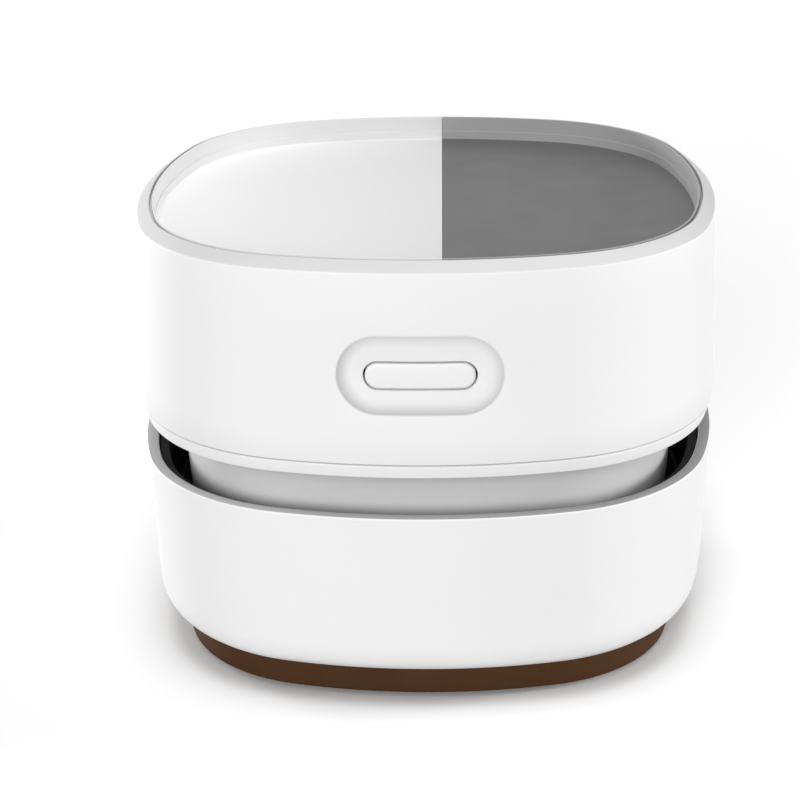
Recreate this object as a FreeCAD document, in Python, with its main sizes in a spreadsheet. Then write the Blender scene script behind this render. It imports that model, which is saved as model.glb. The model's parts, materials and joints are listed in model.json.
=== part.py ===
import FreeCAD, Part
import math
import os

import Sketcher

# Desktop mini vacuum cleaner: a palm-sized, rounded-square body in two halves.
# The lower half is the dust box that stands on the table, with the dark base under it.
# The upper half is the head, with motor, fan, filter, battery, switch and top tray.
# Millimetres. The origin is the middle of the bottom, +Z is up and the button faces -Y.

SIZES = [
    # plan outline shared by every shell
    ("seam_half_width", 45.27, "head at the seam, which every other shell follows"),
    ("flank_bulge", 41.0, "radius of a long side arc, beyond the half width"),
    ("corner_inset", 16.0, "half width less the radius of a corner arc"),
    # feet and base
    ("foot_height", 0.6, "table to the base skirt"),
    ("foot_radius", 3.4, "glide foot"),
    ("foot_thickness", 1.6, "glide foot"),
    ("foot_inset", 7.5, "edge of the base to the middle of a glide foot, along the diagonal"),
    ("foot_boss_wall", 0.8, "boss round a glide foot"),
    ("base_height", 4.25, "brown base, skirt edge to shell"),
    ("base_setback", 4.07, "brown base, in from the lower shell's foot"),
    ("base_edge_round", 0.7, "lower outer edge of the base"),
    ("skirt_wall", 1.8, "skirt round the base recess"),
    ("base_plate_thickness", 2.25, "plate above the base recess"),
    ("base_rib_width", 1.0, "rib under the base plate"),
    ("base_rib_turn", 22.5, "first rib under the base plate, in degrees"),
    ("mouth_radius", 7.5, "suction mouth"),
    ("mouth_rib_wall", 1.4, "ring rib round the suction mouth"),
    ("mouth_rib_height", 1.2, "ring rib round the suction mouth"),
    ("tuft_radius", 0.9, "bristle tuft"),
    ("tuft_seat", 1.5, "depth of a tuft in the plate"),
    ("tuft_clear", 0.15, "bristle tips above the table"),
    ("tuft_turn", 8.0, "first tuft of a row, in degrees"),
    ("outer_tuft_circle", 21.0, "radius of the outer row of tufts"),
    ("outer_tufts", 22, "tufts in the outer row"),
    ("inner_tuft_circle", 12.6, "radius of the inner row of tufts"),
    ("inner_tufts", 12, "tufts in the inner row"),
    ("base_screw_circle", 28.0, "middle to a base screw"),
    ("screw_radius", 1.0, "screw thread"),
    ("screw_head_radius", 1.8, "screw head"),
    ("screw_head_height", 1.2, "screw head"),
    ("post_radius", 2.6, "screw post"),
    ("screw_tip_gap", 0.6, "end of a screw to the end of its hole"),
    ("cut_reach", 4.0, "how far a cut runs past the face that it opens"),
    # dust box
    ("shell_height", 26.75, "lower shell, bottom to rim"),
    ("rim_setback", 0.22, "lower shell's rim, in from the head at the seam"),
    ("shell_taper", 1.08, "lower shell's foot, in from its rim"),
    ("shell_edge_round", 5.7, "bottom edge of the lower shell"),
    ("shell_wall", 1.8, "lower shell"),
    ("cup_gap", 0.3, "between the lower shell and the dust cup"),
    ("cup_wall", 1.2, "dust cup"),
    ("cup_drop", 1.2, "dust cup rim below the shell rim"),
    ("rest_rib_width", 1.6, "rib that the filter flange rests on"),
    ("rest_rib_overlap", 1.2, "that rib, in from the edge of the filter flange"),
    ("rest_rib_turn", 12.0, "that rib, from the middle of a flank, in degrees"),
    ("base_post_height", 4.6, "screw post in the dust cup"),
    ("chimney_wall", 1.2, "inlet chimney"),
    ("chimney_top", 7.0, "chimney top above the cup floor"),
    ("chimney_flange", 2.6, "flange beyond the chimney tube"),
    ("chimney_flange_height", 1.0, "chimney flange"),
    ("chimney_cap", 1.1, "chimney cap"),
    ("window_width", 7.0, "side window of the chimney"),
    ("window_sill", 1.2, "chimney flange to a side window"),
    # groove and head shells
    ("groove_height", 6.1, "open groove between dust box and head"),
    ("lip_height", 2.1, "lip of the head"),
    ("lip_taper", 0.62, "lip's lower edge, in from the seam"),
    ("seam_gap", 0.15, "line between the lip and the upper housing"),
    ("head_height", 27.9, "seam to the top chamfer"),
    ("head_taper", 0.97, "upper housing at the top chamfer, in from the seam"),
    ("chamfer_width", 1.96, "top chamfer, across"),
    ("chamfer_height", 1.4, "top chamfer, up"),
    ("housing_wall", 1.6, "upper housing"),
    ("spigot_height", 1.5, "locating wall on the lip"),
    ("spigot_wall", 1.2, "locating wall on the lip"),
    ("spigot_clear", 0.2, "locating wall to the upper housing"),
    ("spigot_relief", 0.4, "locating wall to a case screw boss"),
    ("case_boss_radius", 2.8, "case screw boss"),
    ("case_boss_height", 12.0, "case screw boss"),
    ("case_screw_length", 8.0, "case screw"),
    # tray
    ("tray_drop", 0.3, "tray wall below the top rim"),
    ("tray_depth", 3.9, "top rim to the tray floor"),
    ("tray_floor", 1.4, "tray floor"),
    ("tray_wall", 0.6, "tray wall"),
    ("tray_step", 0.2, "step in the tray wall, across"),
    ("tray_step_depth", 2.2, "top of the tray wall to its step"),
    ("tray_clear", 0.25, "tray to the upper housing"),
    ("tray_ledge", 2.8, "ledge under the tray, across"),
    ("ledge_thickness", 1.5, "ledge under the tray"),
    ("tray_split", 2.4, "joint between the two tray halves, right of the middle"),
    ("tray_split_turn", 1.0, "turn of that joint, in degrees"),
    ("tray_split_gap", 0.06, "joint between the two tray halves"),
    # neck and fan
    ("groove_depth", 5.35, "neck, in from the lip"),
    ("neck_taper", 1.2, "neck's lower end, in from its top"),
    ("neck_height", 17.5, "neck, down into the dust box"),
    ("neck_wall", 1.2, "neck at its lower end"),
    ("neck_round", 0.8, "fillet between neck and lip"),
    ("slot_width", 2.0, "exhaust slot"),
    ("slot_height", 6.0, "exhaust slot"),
    ("slot_pitch", 4.0, "exhaust slots"),
    ("slot_sill", 1.6, "fan cover to an exhaust slot"),
    ("slot_overrun", 3.0, "cut of an exhaust slot, past both faces of the neck"),
    ("fan_room", 10.7, "lip to the lower face of the fan cover"),
    ("cover_thickness", 1.6, "fan cover"),
    ("cover_seat", 0.6, "ledge over the fan cover"),
    ("cover_clear", 0.15, "fan cover to the neck"),
    ("eye_radius", 11.0, "air inlet of the fan"),
    ("eye_collar_wall", 1.6, "collar round the air inlet"),
    ("eye_collar_height", 1.4, "collar round the air inlet"),
    ("fan_radius", 27.0, "impeller"),
    ("fan_plate", 1.2, "impeller back plate"),
    ("fan_clear", 0.8, "impeller to deck and cover"),
    ("hub_radius", 4.5, "impeller hub"),
    ("blade_start", 0.6, "air inlet to the inner end of a blade"),
    ("blade_margin", 0.5, "outer end of a blade to the edge of the impeller"),
    ("blade_arc_radius", 12.4, "arc of a blade"),
    ("blade_lean", 1.0, "outer end of a blade to the farthest reach of its arc"),
    ("blade_thickness", 0.9, "impeller blade"),
    ("blades", 9, "impeller blades"),
    # filter
    ("flange_thickness", 1.8, "filter flange"),
    ("flange_rest_gap", 0.2, "filter flange to the ribs of the cup"),
    ("seal_side_clear", 0.3, "filter seal to the dust cup"),
    ("seal_width", 0.7, "filter seal, across"),
    ("seal_height", 1.3, "filter seal"),
    ("seal_rise", 0.2, "lower face of the filter flange to the seal"),
    ("seal_clear", 0.05, "filter seal to its flange"),
    ("media_outer_radius", 24.0, "pleated filter"),
    ("media_inner_radius", 17.5, "pleated filter"),
    ("media_gap", 0.3, "pleated filter to the fan cover"),
    ("media_fold", 1.3, "thickness of a fold, across"),
    ("pleats", 32, "folds of the filter"),
    ("cage_rib_width", 2.0, "filter cage rib"),
    ("cage_rib_depth", 1.4, "filter cage rib"),
    ("cage_ribs", 6, "filter cage ribs"),
    ("cage_ring_height", 1.0, "ring on top of the filter cage"),
    ("flange_windows", 8, "air windows in the filter flange"),
    ("flange_window_gap", 0.8, "filter cage to an air window"),
    ("flange_window_reach", 6.0, "air window, across"),
    ("flange_spoke", 2.4, "spoke between two air windows"),
    # motor
    ("cushion_thickness", 1.0, "rubber ring under the motor"),
    ("motor_radius", 12.2, "motor can"),
    ("motor_height", 16.5, "motor can"),
    ("boss_clear", 0.4, "bearing boss to its hole in the deck"),
    ("cushion_margin", 1.0, "motor screw to the bore of the rubber ring"),
    ("motor_wall", 0.8, "motor can"),
    ("motor_boss_radius", 3.0, "bearing boss of the motor"),
    ("motor_boss_height", 2.2, "bearing boss of the motor"),
    ("bush_radius", 2.1, "motor bush"),
    ("shaft_radius", 1.0, "motor shaft"),
    ("shaft_clear", 0.02, "running fit of the shaft"),
    ("seat_clear", 0.03, "seat of a pressed part"),
    ("end_cap_height", 2.4, "motor end cap with its plug"),
    ("plug_height", 1.2, "plug of the end cap, inside the can"),
    ("cap_boss_height", 0.8, "bush boss on the end cap"),
    ("cap_setback", 0.3, "edge of the end cap, in from the can"),
    ("magnet_thickness", 2.0, "motor magnet"),
    ("magnet_height", 12.0, "motor magnet"),
    ("magnet_angle", 130.0, "motor magnet, in degrees"),
    ("air_gap", 0.4, "armature to magnets"),
    ("core_height", 9.6, "armature core"),
    ("core_drop", 0.6, "armature core below the middle of the can"),
    ("pole_thickness", 1.5, "face of an armature pole"),
    ("pole_angle", 86.0, "face of an armature pole, in degrees"),
    ("pole_arm", 2.6, "arm of an armature pole, across"),
    ("core_hub_radius", 2.6, "middle of the armature core"),
    ("commutator_radius", 2.3, "commutator"),
    ("commutator_height", 2.6, "commutator"),
    ("commutator_gap", 1.2, "armature core to commutator"),
    ("coil_thickness", 1.2, "winding beside an armature pole's arm"),
    ("coil_gap", 0.15, "winding to the arm"),
    ("coil_start", 0.9, "middle of the armature core to a winding"),
    ("coil_overhang", 0.5, "winding past the ends of the core and under its pole face"),
    ("shaft_setback", 0.2, "lower end of the shaft above the blades' lower edges"),
    ("shaft_proud", 0.1, "upper end of the shaft past the end cap"),
    ("leaf_thickness", 0.35, "motor brush leaf"),
    ("leaf_width", 1.6, "motor brush leaf"),
    ("leaf_rise", 0.4, "lower end of a leaf above the commutator's"),
    ("leaf_room", 0.6, "leaf to the recess in the end cap"),
    ("leaf_gap", 0.1, "leaf to the plate of the end cap"),
    ("terminal_height", 1.8, "motor terminal"),
    ("terminal_width", 2.0, "motor terminal"),
    ("terminal_thickness", 0.5, "motor terminal"),
    ("terminal_offset", 7.0, "axis to a motor terminal"),
    ("motor_screw_offset", 8.0, "axis to a motor screw"),
    # battery
    ("cell_radius", 7.1, "battery cell"),
    ("cell_length", 49.0, "battery cell"),
    ("cell_inset", 18.27, "cell's axis, in from the head at the seam"),
    ("cell_cap_radius", 3.2, "end cap of the cell"),
    ("cell_cap_height", 1.0, "end cap of the cell"),
    ("cradle_wall", 1.3, "battery cradle"),
    ("cradle_height", 7.6, "battery cradle"),
    ("cell_clear", 0.15, "cell to cradle"),
    ("tab_thickness", 0.4, "battery tab"),
    ("tab_width", 5.0, "battery tab"),
    # circuit board and socket
    ("board_width", 29.0, "circuit board"),
    ("board_thickness", 1.2, "circuit board"),
    ("board_near", 17.5, "circuit board edge nearest the motor"),
    ("board_setback", 4.87, "circuit board's back edge, in from the head at the seam"),
    ("board_hole_radius", 0.9, "screw hole of the circuit board"),
    ("board_hole_inset", 2.4, "screw hole, in from the board's sides and near edge"),
    ("board_hole_setback", 3.4, "screw hole, in from the board's back edge"),
    ("chip_length", 5.0, "charge chip"),
    ("chip_width", 4.0, "charge chip, and the side of the coil"),
    ("chip_height", 1.5, "charge chip"),
    ("chip_place", 7.0, "near edge of the board to the charge chip"),
    ("driver_side", 3.0, "drive chip"),
    ("driver_height", 1.1, "drive chip"),
    ("coil_height", 2.6, "coil on the board"),
    ("capacitor_radius", 2.2, "capacitor"),
    ("capacitor_height", 5.5, "capacitor"),
    ("capacitor_place", 10.6, "middle to the capacitor, sideways"),
    ("standoff_height", 4.2, "under the circuit board"),
    ("standoff_radius", 1.9, "under the circuit board"),
    ("pilot_radius", 0.8, "screw hole in a standoff"),
    ("socket_width", 9.0, "charging socket"),
    ("socket_height", 3.3, "charging socket"),
    ("socket_depth", 7.3, "charging socket"),
    ("socket_wall", 0.4, "charging socket"),
    ("socket_tongue", 0.8, "thickness of the tongue in the charging socket"),
    ("tongue_width", 6.0, "tongue in the charging socket"),
    ("tongue_length", 5.9, "tongue in the charging socket"),
    ("socket_setback", 0.3, "charging socket to the housing wall"),
    ("port_clear", 0.35, "housing port to the socket"),
    ("light_radius", 1.0, "charge light"),
    ("light_offset", 9.5, "charge light beside the socket"),
    ("light_run", 4.6, "charge light, in from the board's back edge"),
    ("light_inset", 0.5, "charge light below the housing's face"),
    ("source_size", 1.6, "light source"),
    ("source_height", 1.2, "light source"),
    ("source_gap", 0.2, "light source to the charge light"),
    # button and switch
    ("button_level", 53.1, "middle of the button above the table"),
    ("dish_length", 23.4, "dish round the button"),
    ("dish_height", 11.6, "dish round the button"),
    ("dish_depth", 0.85, "dish round the button"),
    ("dish_round", 2.55, "concave edge of the dish"),
    ("guide_wall", 1.8, "button guide behind the dish"),
    ("guide_depth", 2.9, "button guide behind the dish"),
    ("button_length", 15.6, "button"),
    ("button_height", 4.2, "button"),
    ("button_proud", 0.25, "button in front of the dish"),
    ("button_round", 0.5, "front edge of the button"),
    ("button_clear", 0.3, "button to its hole"),
    ("button_travel", 1.2, "button"),
    ("collar_height", 1.0, "retaining collar behind the button"),
    ("collar_wall", 1.0, "retaining collar beyond the button"),
    ("stop_gap", 0.1, "retaining collar to the guide"),
    ("plunger_radius", 1.2, "switch plunger"),
    ("plunger_entry", 1.4, "plunger inside the switch"),
    ("plunger_room", 0.3, "end of the pressed plunger to the end of its hole"),
    ("switch_gap", 0.9, "pressed collar to the switch"),
    ("switch_size", 7.0, "switch, across"),
    ("switch_depth", 5.0, "switch"),
    ("switch_board_width", 18.0, "switch board"),
    ("switch_board_height", 17.5, "switch board"),
    ("slot_rib", 1.6, "wall of the rib that holds the switch board"),
    ("slot_rib_height", 5.0, "rib that holds the switch board"),
    ("slot_rib_length", 4.0, "rib that holds the switch board"),
    ("slot_floor", 1.0, "deck to the lower edge of the switch board"),
    ("fit_clear", 0.1, "sliding fit of small parts"),
]

# Levels are heights above the table. Each one is worked out from the sizes.
PLACES = [
    ("base_level", "=sizes.foot_height"),
    ("plate_level", "=base_level + sizes.base_height - sizes.base_plate_thickness"),
    ("shell_level", "=base_level + sizes.base_height"),
    ("rim_level", "=shell_level + sizes.shell_height"),
    ("lip_level", "=rim_level + sizes.groove_height"),
    ("seam_level", "=lip_level + sizes.lip_height"),
    ("chamfer_level", "=seam_level + sizes.head_height"),
    ("top_level", "=chamfer_level + sizes.chamfer_height"),
    ("corner_run", "=(sqrt(2 * (sizes.flank_bulge + sizes.corner_inset) ^ 2 - sizes.flank_bulge ^ 2)"
                   " - sizes.flank_bulge) / sqrt(2) - sizes.corner_inset"),
    ("top_half_width", "=sizes.seam_half_width - sizes.head_taper"),
    ("lip_half_width", "=sizes.seam_half_width - sizes.lip_taper"),
    ("neck_half_width", "=lip_half_width - sizes.groove_depth"),
    ("neck_foot_half_width", "=neck_half_width - sizes.neck_taper"),
    ("shell_rim_half_width", "=sizes.seam_half_width - sizes.rim_setback"),
    ("shell_foot_half_width", "=shell_rim_half_width - sizes.shell_taper"),
    ("base_half_width", "=shell_foot_half_width - sizes.base_setback"),
    ("rim_inner", "=top_half_width - sizes.chamfer_width"),
    ("floor_level", "=top_level - sizes.tray_depth"),
    ("ledge_level", "=floor_level - sizes.tray_floor"),
    ("head_draft", "=sizes.head_taper / sizes.head_height"),
    ("spigot_outside", "=sizes.seam_half_width - sizes.housing_wall - sizes.spigot_clear"),
    ("ledge_under", "=ledge_level - sizes.ledge_thickness"),
    ("inner_top", "=sizes.seam_half_width - head_draft * (ledge_under - seam_level) - sizes.housing_wall"),
    ("shell_draft", "=sizes.shell_taper / sizes.shell_height"),
    ("cup_level", "=shell_level + sizes.shell_wall"),
    ("cup_rim_level", "=rim_level - sizes.cup_drop"),
    ("cup_inset", "=sizes.shell_wall + sizes.cup_gap"),
    ("cup_rim", "=shell_rim_half_width - cup_inset - shell_draft * sizes.cup_drop"),
    ("cup_foot", "=shell_foot_half_width - cup_inset + shell_draft * sizes.shell_wall"),
    ("cup_floor_level", "=cup_level + sizes.cup_wall"),
    ("neck_level", "=lip_level - sizes.neck_height"),
    ("flange_level", "=neck_level - sizes.flange_thickness"),
    ("rest_level", "=flange_level - sizes.flange_rest_gap"),
    ("seal_level", "=flange_level + sizes.seal_rise"),
    ("cup_at_seal", "=cup_foot + (cup_rim - cup_foot) * (seal_level - cup_floor_level)"
                    " / (cup_rim_level - cup_floor_level)"),
    ("seal_half_width", "=cup_at_seal - sizes.cup_wall - sizes.seal_side_clear"),
    ("flange_half_width", "=seal_half_width - sizes.seal_width"),
    ("cover_under", "=lip_level - sizes.fan_room"),
    ("cover_level", "=cover_under + sizes.cover_thickness"),
    ("cover_bore", "=neck_foot_half_width - sizes.neck_wall"),
    ("fan_bore", "=cover_bore - sizes.cover_seat"),
    ("media_height", "=cover_under - neck_level - sizes.media_gap"),
    ("cage_radius", "=sizes.media_outer_radius + sizes.seat_clear + sizes.cage_rib_depth"),
    ("fan_back_level", "=lip_level - sizes.fan_clear - sizes.fan_plate"),
    ("fan_front_level", "=cover_level + sizes.fan_clear"),
    ("blade_inner_radius", "=sizes.eye_radius + sizes.blade_start"),
    ("blade_outer_radius", "=sizes.fan_radius - sizes.blade_margin"),
    ("blade_centre", "=blade_outer_radius - sizes.blade_arc_radius + sizes.blade_lean"),
    ("can_level", "=seam_level + sizes.cushion_thickness"),
    ("can_top", "=can_level + sizes.motor_height"),
    ("core_level", "=can_level + sizes.motor_height / 2 - sizes.core_height / 2 - sizes.core_drop"),
    ("core_radius", "=sizes.motor_radius - sizes.motor_wall - sizes.magnet_thickness - sizes.air_gap"),
    ("commutator_level", "=core_level + sizes.core_height + sizes.commutator_gap"),
    ("board_level", "=seam_level + sizes.standoff_height"),
    ("socket_level", "=board_level + sizes.board_thickness"),
    ("port_level", "=socket_level + sizes.socket_height / 2"),
    ("button_half_width", "=sizes.seam_half_width - head_draft * (sizes.button_level - seam_level)"),
    ("dish_front", "=button_half_width - sizes.dish_depth"),
    ("dish_flare", "=sizes.dish_round"
                   " - sqrt(2 * sizes.dish_round * sizes.dish_depth - sizes.dish_depth ^ 2)"),
    ("cut_front", "=sizes.seam_half_width + sizes.cut_reach"),
    ("guide_back", "=dish_front - sizes.guide_depth"),
    ("collar_front", "=guide_back - sizes.stop_gap"),
    ("collar_back", "=collar_front - sizes.collar_height"),
    ("switch_front", "=collar_back - sizes.button_travel - sizes.switch_gap"),
    ("switch_back", "=switch_front - sizes.switch_depth"),
    ("case_boss", "=((neck_half_width + lip_half_width) / 2 + corner_run) / sqrt(2)"),
    ("foot_place", "=(base_half_width + corner_run - sizes.foot_inset) / sqrt(2)"),
    ("cell_offset", "=sizes.seam_half_width - sizes.cell_inset"),
    ("board_far", "=sizes.seam_half_width - sizes.board_setback"),
    ("port_half_width", "=sizes.seam_half_width - head_draft * (port_level - seam_level)"),
]

UPRIGHT = FreeCAD.Rotation()
TURNS = {
    "z": UPRIGHT,
    "y": FreeCAD.Rotation(FreeCAD.Vector(1, 0, 0), -90),
    "x": FreeCAD.Rotation(FreeCAD.Vector(0, 1, 0), 90),
}
FACING_FRONT = FreeCAD.Rotation(FreeCAD.Vector(1, 0, 0), 90)

doc = FreeCAD.newDocument("desktop_vacuum")


def fill_sheet(name, rows):
    """A sheet with one aliased cell for each named value."""
    sheet = doc.addObject("Spreadsheet::Sheet", name)
    for number, row in enumerate(rows, start=1):
        sheet.set("A%d" % number, row[-1] if len(row) > 2 else row[0])
        sheet.set("B%d" % number, str(row[1]))
        sheet.setAlias("B%d" % number, row[0])
    doc.recompute()
    return sheet


sizes = fill_sheet("sizes", SIZES)
places = fill_sheet("places", PLACES)


def value(rule):
    """The number that an expression over the two sheets gives now."""
    result = sizes.evalExpression(rule)
    return float(getattr(result, "Value", result))


def place(item, x="0", y="0", z="0"):
    """Tie an item's position to the sheets."""
    for axis, rule in (("x", x), ("y", y), ("z", z)):
        item.setExpression("Placement.Base." + axis, rule)


def cylinder(name, radius, height, x="0", y="0", z="0", along="z"):
    item = doc.addObject("Part::Cylinder", name)
    item.Placement = FreeCAD.Placement(FreeCAD.Vector(), TURNS[along])
    item.setExpression("Radius", radius)
    item.setExpression("Height", height)
    place(item, x, y, z)
    return item


def box(name, wide, deep, tall, x="0", y="0", z="0"):
    """A box centred on x and y that stands on z."""
    item = doc.addObject("Part::Box", name)
    item.setExpression("Length", wide)
    item.setExpression("Width", deep)
    item.setExpression("Height", tall)
    place(item, "(%s) - (%s) / 2" % (x, wide), "(%s) - (%s) / 2" % (y, deep), z)
    return item


def fuse(name, items):
    item = doc.addObject("Part::MultiFuse", name)
    item.Shapes = items
    return item


def cut(name, base, tools):
    """One solid less one or more tools."""
    item = doc.addObject("Part::Cut", name)
    item.Base = base
    item.Tool = tools[0] if len(tools) == 1 else fuse(name + "_tools", tools)
    return item


def common(name, base, tool):
    item = doc.addObject("Part::Common", name)
    item.Base = base
    item.Tool = tool
    return item


def group(name, items):
    """Separate solids that share one node."""
    item = doc.addObject("Part::Compound", name)
    item.Links = items
    return item


def ring(name, outer, inner, height, z, x="0", y="0"):
    """A round tube that stands on z."""
    wall = cylinder(name + "_wall", outer, height, x, y, z)
    bore = cylinder(name + "_bore", inner, height, x, y, z)
    return cut(name, wall, [bore])


def new_sketch(name, body):
    """A sketch on its body's XY plane, or one that stands alone."""
    if body is None:
        return doc.addObject("Sketcher::SketchObject", name)
    sketch = body.newObject("Sketcher::SketchObject", name)
    plane = [f for f in body.Origin.OriginFeatures if f.Role == "XY_Plane"][0]
    sketch.AttachmentSupport = (plane, [""])
    sketch.MapMode = "FlatFace"
    return sketch


def set_level(sketch, level, body):
    path = "AttachmentOffset.Base.z" if body is not None else "Placement.Base.z"
    sketch.setExpression(path, level)


def tie(sketch, kind, *where, rule, label):
    """A dimension of a sketch that follows an expression."""
    index = sketch.addConstraint(Sketcher.Constraint(kind, *where, value(rule)))
    sketch.renameConstraint(index, label)
    sketch.setExpression("Constraints." + label, rule)


def squircle(name, half_width, level, body=None):
    """The plan outline at a half width: four long side arcs joined by four corner arcs.

    Every outline shares the same arc centres, so walls and gaps stay even all round.
    """
    sketch = new_sketch(name, body)
    bulge = value("sizes.flank_bulge")
    side_radius = value(half_width) + bulge
    corner_radius = value(half_width) - value("sizes.corner_inset")
    reach = side_radius - corner_radius
    corner = (math.sqrt(2 * reach ** 2 - bulge ** 2) - bulge) / 2
    sweep = math.atan2(corner, corner + bulge)
    up = FreeCAD.Vector(0, 0, 1)
    for quarter in range(4):
        turn = FreeCAD.Rotation(up, 90 * quarter)
        start = quarter * math.pi / 2
        side = Part.Circle(turn.multVec(FreeCAD.Vector(-bulge, 0, 0)), up, side_radius)
        bend = Part.Circle(turn.multVec(FreeCAD.Vector(corner, corner, 0)), up, corner_radius)
        sketch.addGeometry(Part.ArcOfCircle(side, start - sweep, start + sweep), False)
        sketch.addGeometry(Part.ArcOfCircle(bend, start + sweep, start + math.pi / 2 - sweep), False)
    for index in range(8):
        sketch.addConstraint(Sketcher.Constraint("Tangent", index, 2, (index + 1) % 8, 1))
    for index, axis in ((0, -1), (2, -2), (4, -1), (6, -2)):
        sketch.addConstraint(Sketcher.Constraint("PointOnObject", index, 3, axis))
    bulge_rule = "sizes.flank_bulge"
    tie(sketch, "DistanceX", 0, 3, -1, 1, rule=bulge_rule, label="right_side")
    tie(sketch, "DistanceY", 2, 3, -1, 1, rule=bulge_rule, label="back_side")
    tie(sketch, "DistanceX", -1, 1, 4, 3, rule=bulge_rule, label="left_side")
    tie(sketch, "DistanceY", -1, 1, 6, 3, rule=bulge_rule, label="front_side")
    tie(sketch, "Radius", 0, rule="%s + sizes.flank_bulge" % half_width, label="side_radius")
    tie(sketch, "Radius", 1, rule="%s - sizes.corner_inset" % half_width, label="corner_radius")
    for index in (2, 4, 6):
        sketch.addConstraint(Sketcher.Constraint("Equal", 0, index))
        sketch.addConstraint(Sketcher.Constraint("Equal", 1, index + 1))
    set_level(sketch, level, body)
    return sketch


def half_width_at(point):
    """Half width of the plan outline that passes through a point."""
    bulge = value("sizes.flank_bulge")
    inset = value("sizes.corner_inset")
    corner = (math.sqrt(2 * (bulge + inset) ** 2 - bulge ** 2) - bulge) / 2
    long, short = max(abs(point.x), abs(point.y)), min(abs(point.x), abs(point.y))
    if math.atan2(short, long + bulge) < math.atan2(corner, corner + bulge):
        return math.hypot(long + bulge, short) - bulge
    return math.hypot(long - corner, short - corner) + inset


def slab(name, half_width, level, height):
    """A plate or a well with the plan outline."""
    item = doc.addObject("Part::Extrusion", name)
    item.Base = squircle(name + "_outline", half_width, level)
    item.Dir = FreeCAD.Vector(0, 0, 1)
    item.DirMode = "Custom"
    item.setExpression("LengthFwd", height)
    item.Solid = True
    return item


def drafted(name, low_width, low_level, high_width, high_level):
    """A solid with the plan outline whose walls lean evenly between two levels."""
    item = doc.addObject("Part::Loft", name)
    low = squircle(name + "_low", low_width, low_level)
    high = squircle(name + "_high", high_width, high_level)
    item.Sections = [low, high]
    item.Solid = True
    item.Ruled = True
    return item


def frame_ring(name, outer, inner, level, height):
    """A band between two plan outlines."""
    wall = slab(name + "_wall", outer, level, height)
    return cut(name, wall, [slab(name + "_well", inner, level, height)])


def edges_at(shape, level, tolerance=0.01):
    """Names of the edges that lie wholly at one level."""
    names = []
    for number, edge in enumerate(shape.Edges, start=1):
        span = edge.BoundBox
        if abs(span.ZMin - level) < tolerance and abs(span.ZMax - level) < tolerance:
            names.append("Edge%d" % number)
    return names


def bowl(name, foot_width, foot_level, rim_width, rim_level, edge_round):
    """A block with leaning walls and a rounded bottom edge, for the shells of the dust box."""
    body = doc.addObject("PartDesign::Body", name)
    walls = body.newObject("PartDesign::Pad", name + "_walls")
    walls.Profile = squircle(name + "_foot", foot_width, foot_level, body)
    walls.setExpression("Length", "%s - %s" % (rim_level, foot_level))
    doc.recompute()
    if rim_width != foot_width:
        sides = ["Face%d" % number for number, face in enumerate(walls.Shape.Faces, start=1)
                 if face.Surface.TypeId == "Part::GeomCylinder"]
        floor = ["Face%d" % number for number, face in enumerate(walls.Shape.Faces, start=1)
                 if abs(face.BoundBox.ZMax - value(foot_level)) < 0.01]
        lean = body.newObject("PartDesign::Draft", name + "_draft")
        lean.Base = (walls, sides)
        lean.NeutralPlane = (walls, floor)
        lean.Reversed = True
        lean.setExpression("Angle", "atan((%s - %s) / (%s - %s))"
                           % (rim_width, foot_width, rim_level, foot_level))
        doc.recompute()
        walls = lean
    fillet = body.newObject("PartDesign::Fillet", name + "_edge")
    fillet.Base = (walls, edges_at(walls.Shape, value(foot_level)))
    fillet.setExpression("Radius", edge_round)
    body.Tip = fillet
    doc.recompute()
    return body


def pill(name, length, height, y, z):
    """A pill outline, drawn upright and facing the front."""
    sketch = doc.addObject("Sketcher::SketchObject", name)
    sketch.Placement = FreeCAD.Placement(FreeCAD.Vector(), FACING_FRONT)
    radius = value(height) / 2
    middle = value(length) / 2 - radius
    up = FreeCAD.Vector(0, 0, 1)
    right = Part.Circle(FreeCAD.Vector(middle, 0, 0), up, radius)
    left = Part.Circle(FreeCAD.Vector(-middle, 0, 0), up, radius)
    sketch.addGeometry(Part.ArcOfCircle(right, -math.pi / 2, math.pi / 2), False)
    sketch.addGeometry(Part.ArcOfCircle(left, math.pi / 2, 3 * math.pi / 2), False)
    for side in (radius, -radius):
        start = FreeCAD.Vector(math.copysign(middle, side), side, 0)
        sketch.addGeometry(Part.LineSegment(start, FreeCAD.Vector(-start.x, side, 0)), False)
    for first, second in ((0, 2), (2, 1), (1, 3), (3, 0)):
        sketch.addConstraint(Sketcher.Constraint("Tangent", first, 2, second, 1))
    sketch.addConstraint(Sketcher.Constraint("Symmetric", 0, 3, 1, 3, -1, 1))
    sketch.addConstraint(Sketcher.Constraint("PointOnObject", 0, 3, -1))
    sketch.addConstraint(Sketcher.Constraint("Equal", 0, 1))
    tie(sketch, "Radius", 0, rule="(%s) / 2" % height, label="end_radius")
    tie(sketch, "DistanceX", 1, 3, 0, 3, rule="(%s) - (%s)" % (length, height), label="middle")
    place(sketch, "0", y, z)
    return sketch


def pill_block(name, length, height, front, z, depth):
    """A pill-shaped block that runs back from the given front, which faces -Y."""
    item = doc.addObject("Part::Extrusion", name)
    item.Base = pill(name + "_outline", length, height, "-(%s)" % front, z)
    item.Dir = FreeCAD.Vector(0, 1, 0)
    item.DirMode = "Custom"
    item.setExpression("LengthFwd", depth)
    item.Solid = True
    return item


def four_ways(distance):
    """Position rules for four like pieces on the axes."""
    return [(distance, "0"), ("0", distance), ("-" + distance, "0"), ("0", "-" + distance)]


def four_corners(distance):
    """Position rules for four like pieces on the diagonals."""
    return [(a + distance, b + distance) for a in ("", "-") for b in ("", "-")]


def around(radius, count, index, start):
    """Position rule of one of several like pieces on a circle."""
    angle = "(360 * %d / %s + %s)" % (index, count, start)
    return "%s * cos(%s)" % (radius, angle), "%s * sin(%s)" % (radius, angle)


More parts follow.
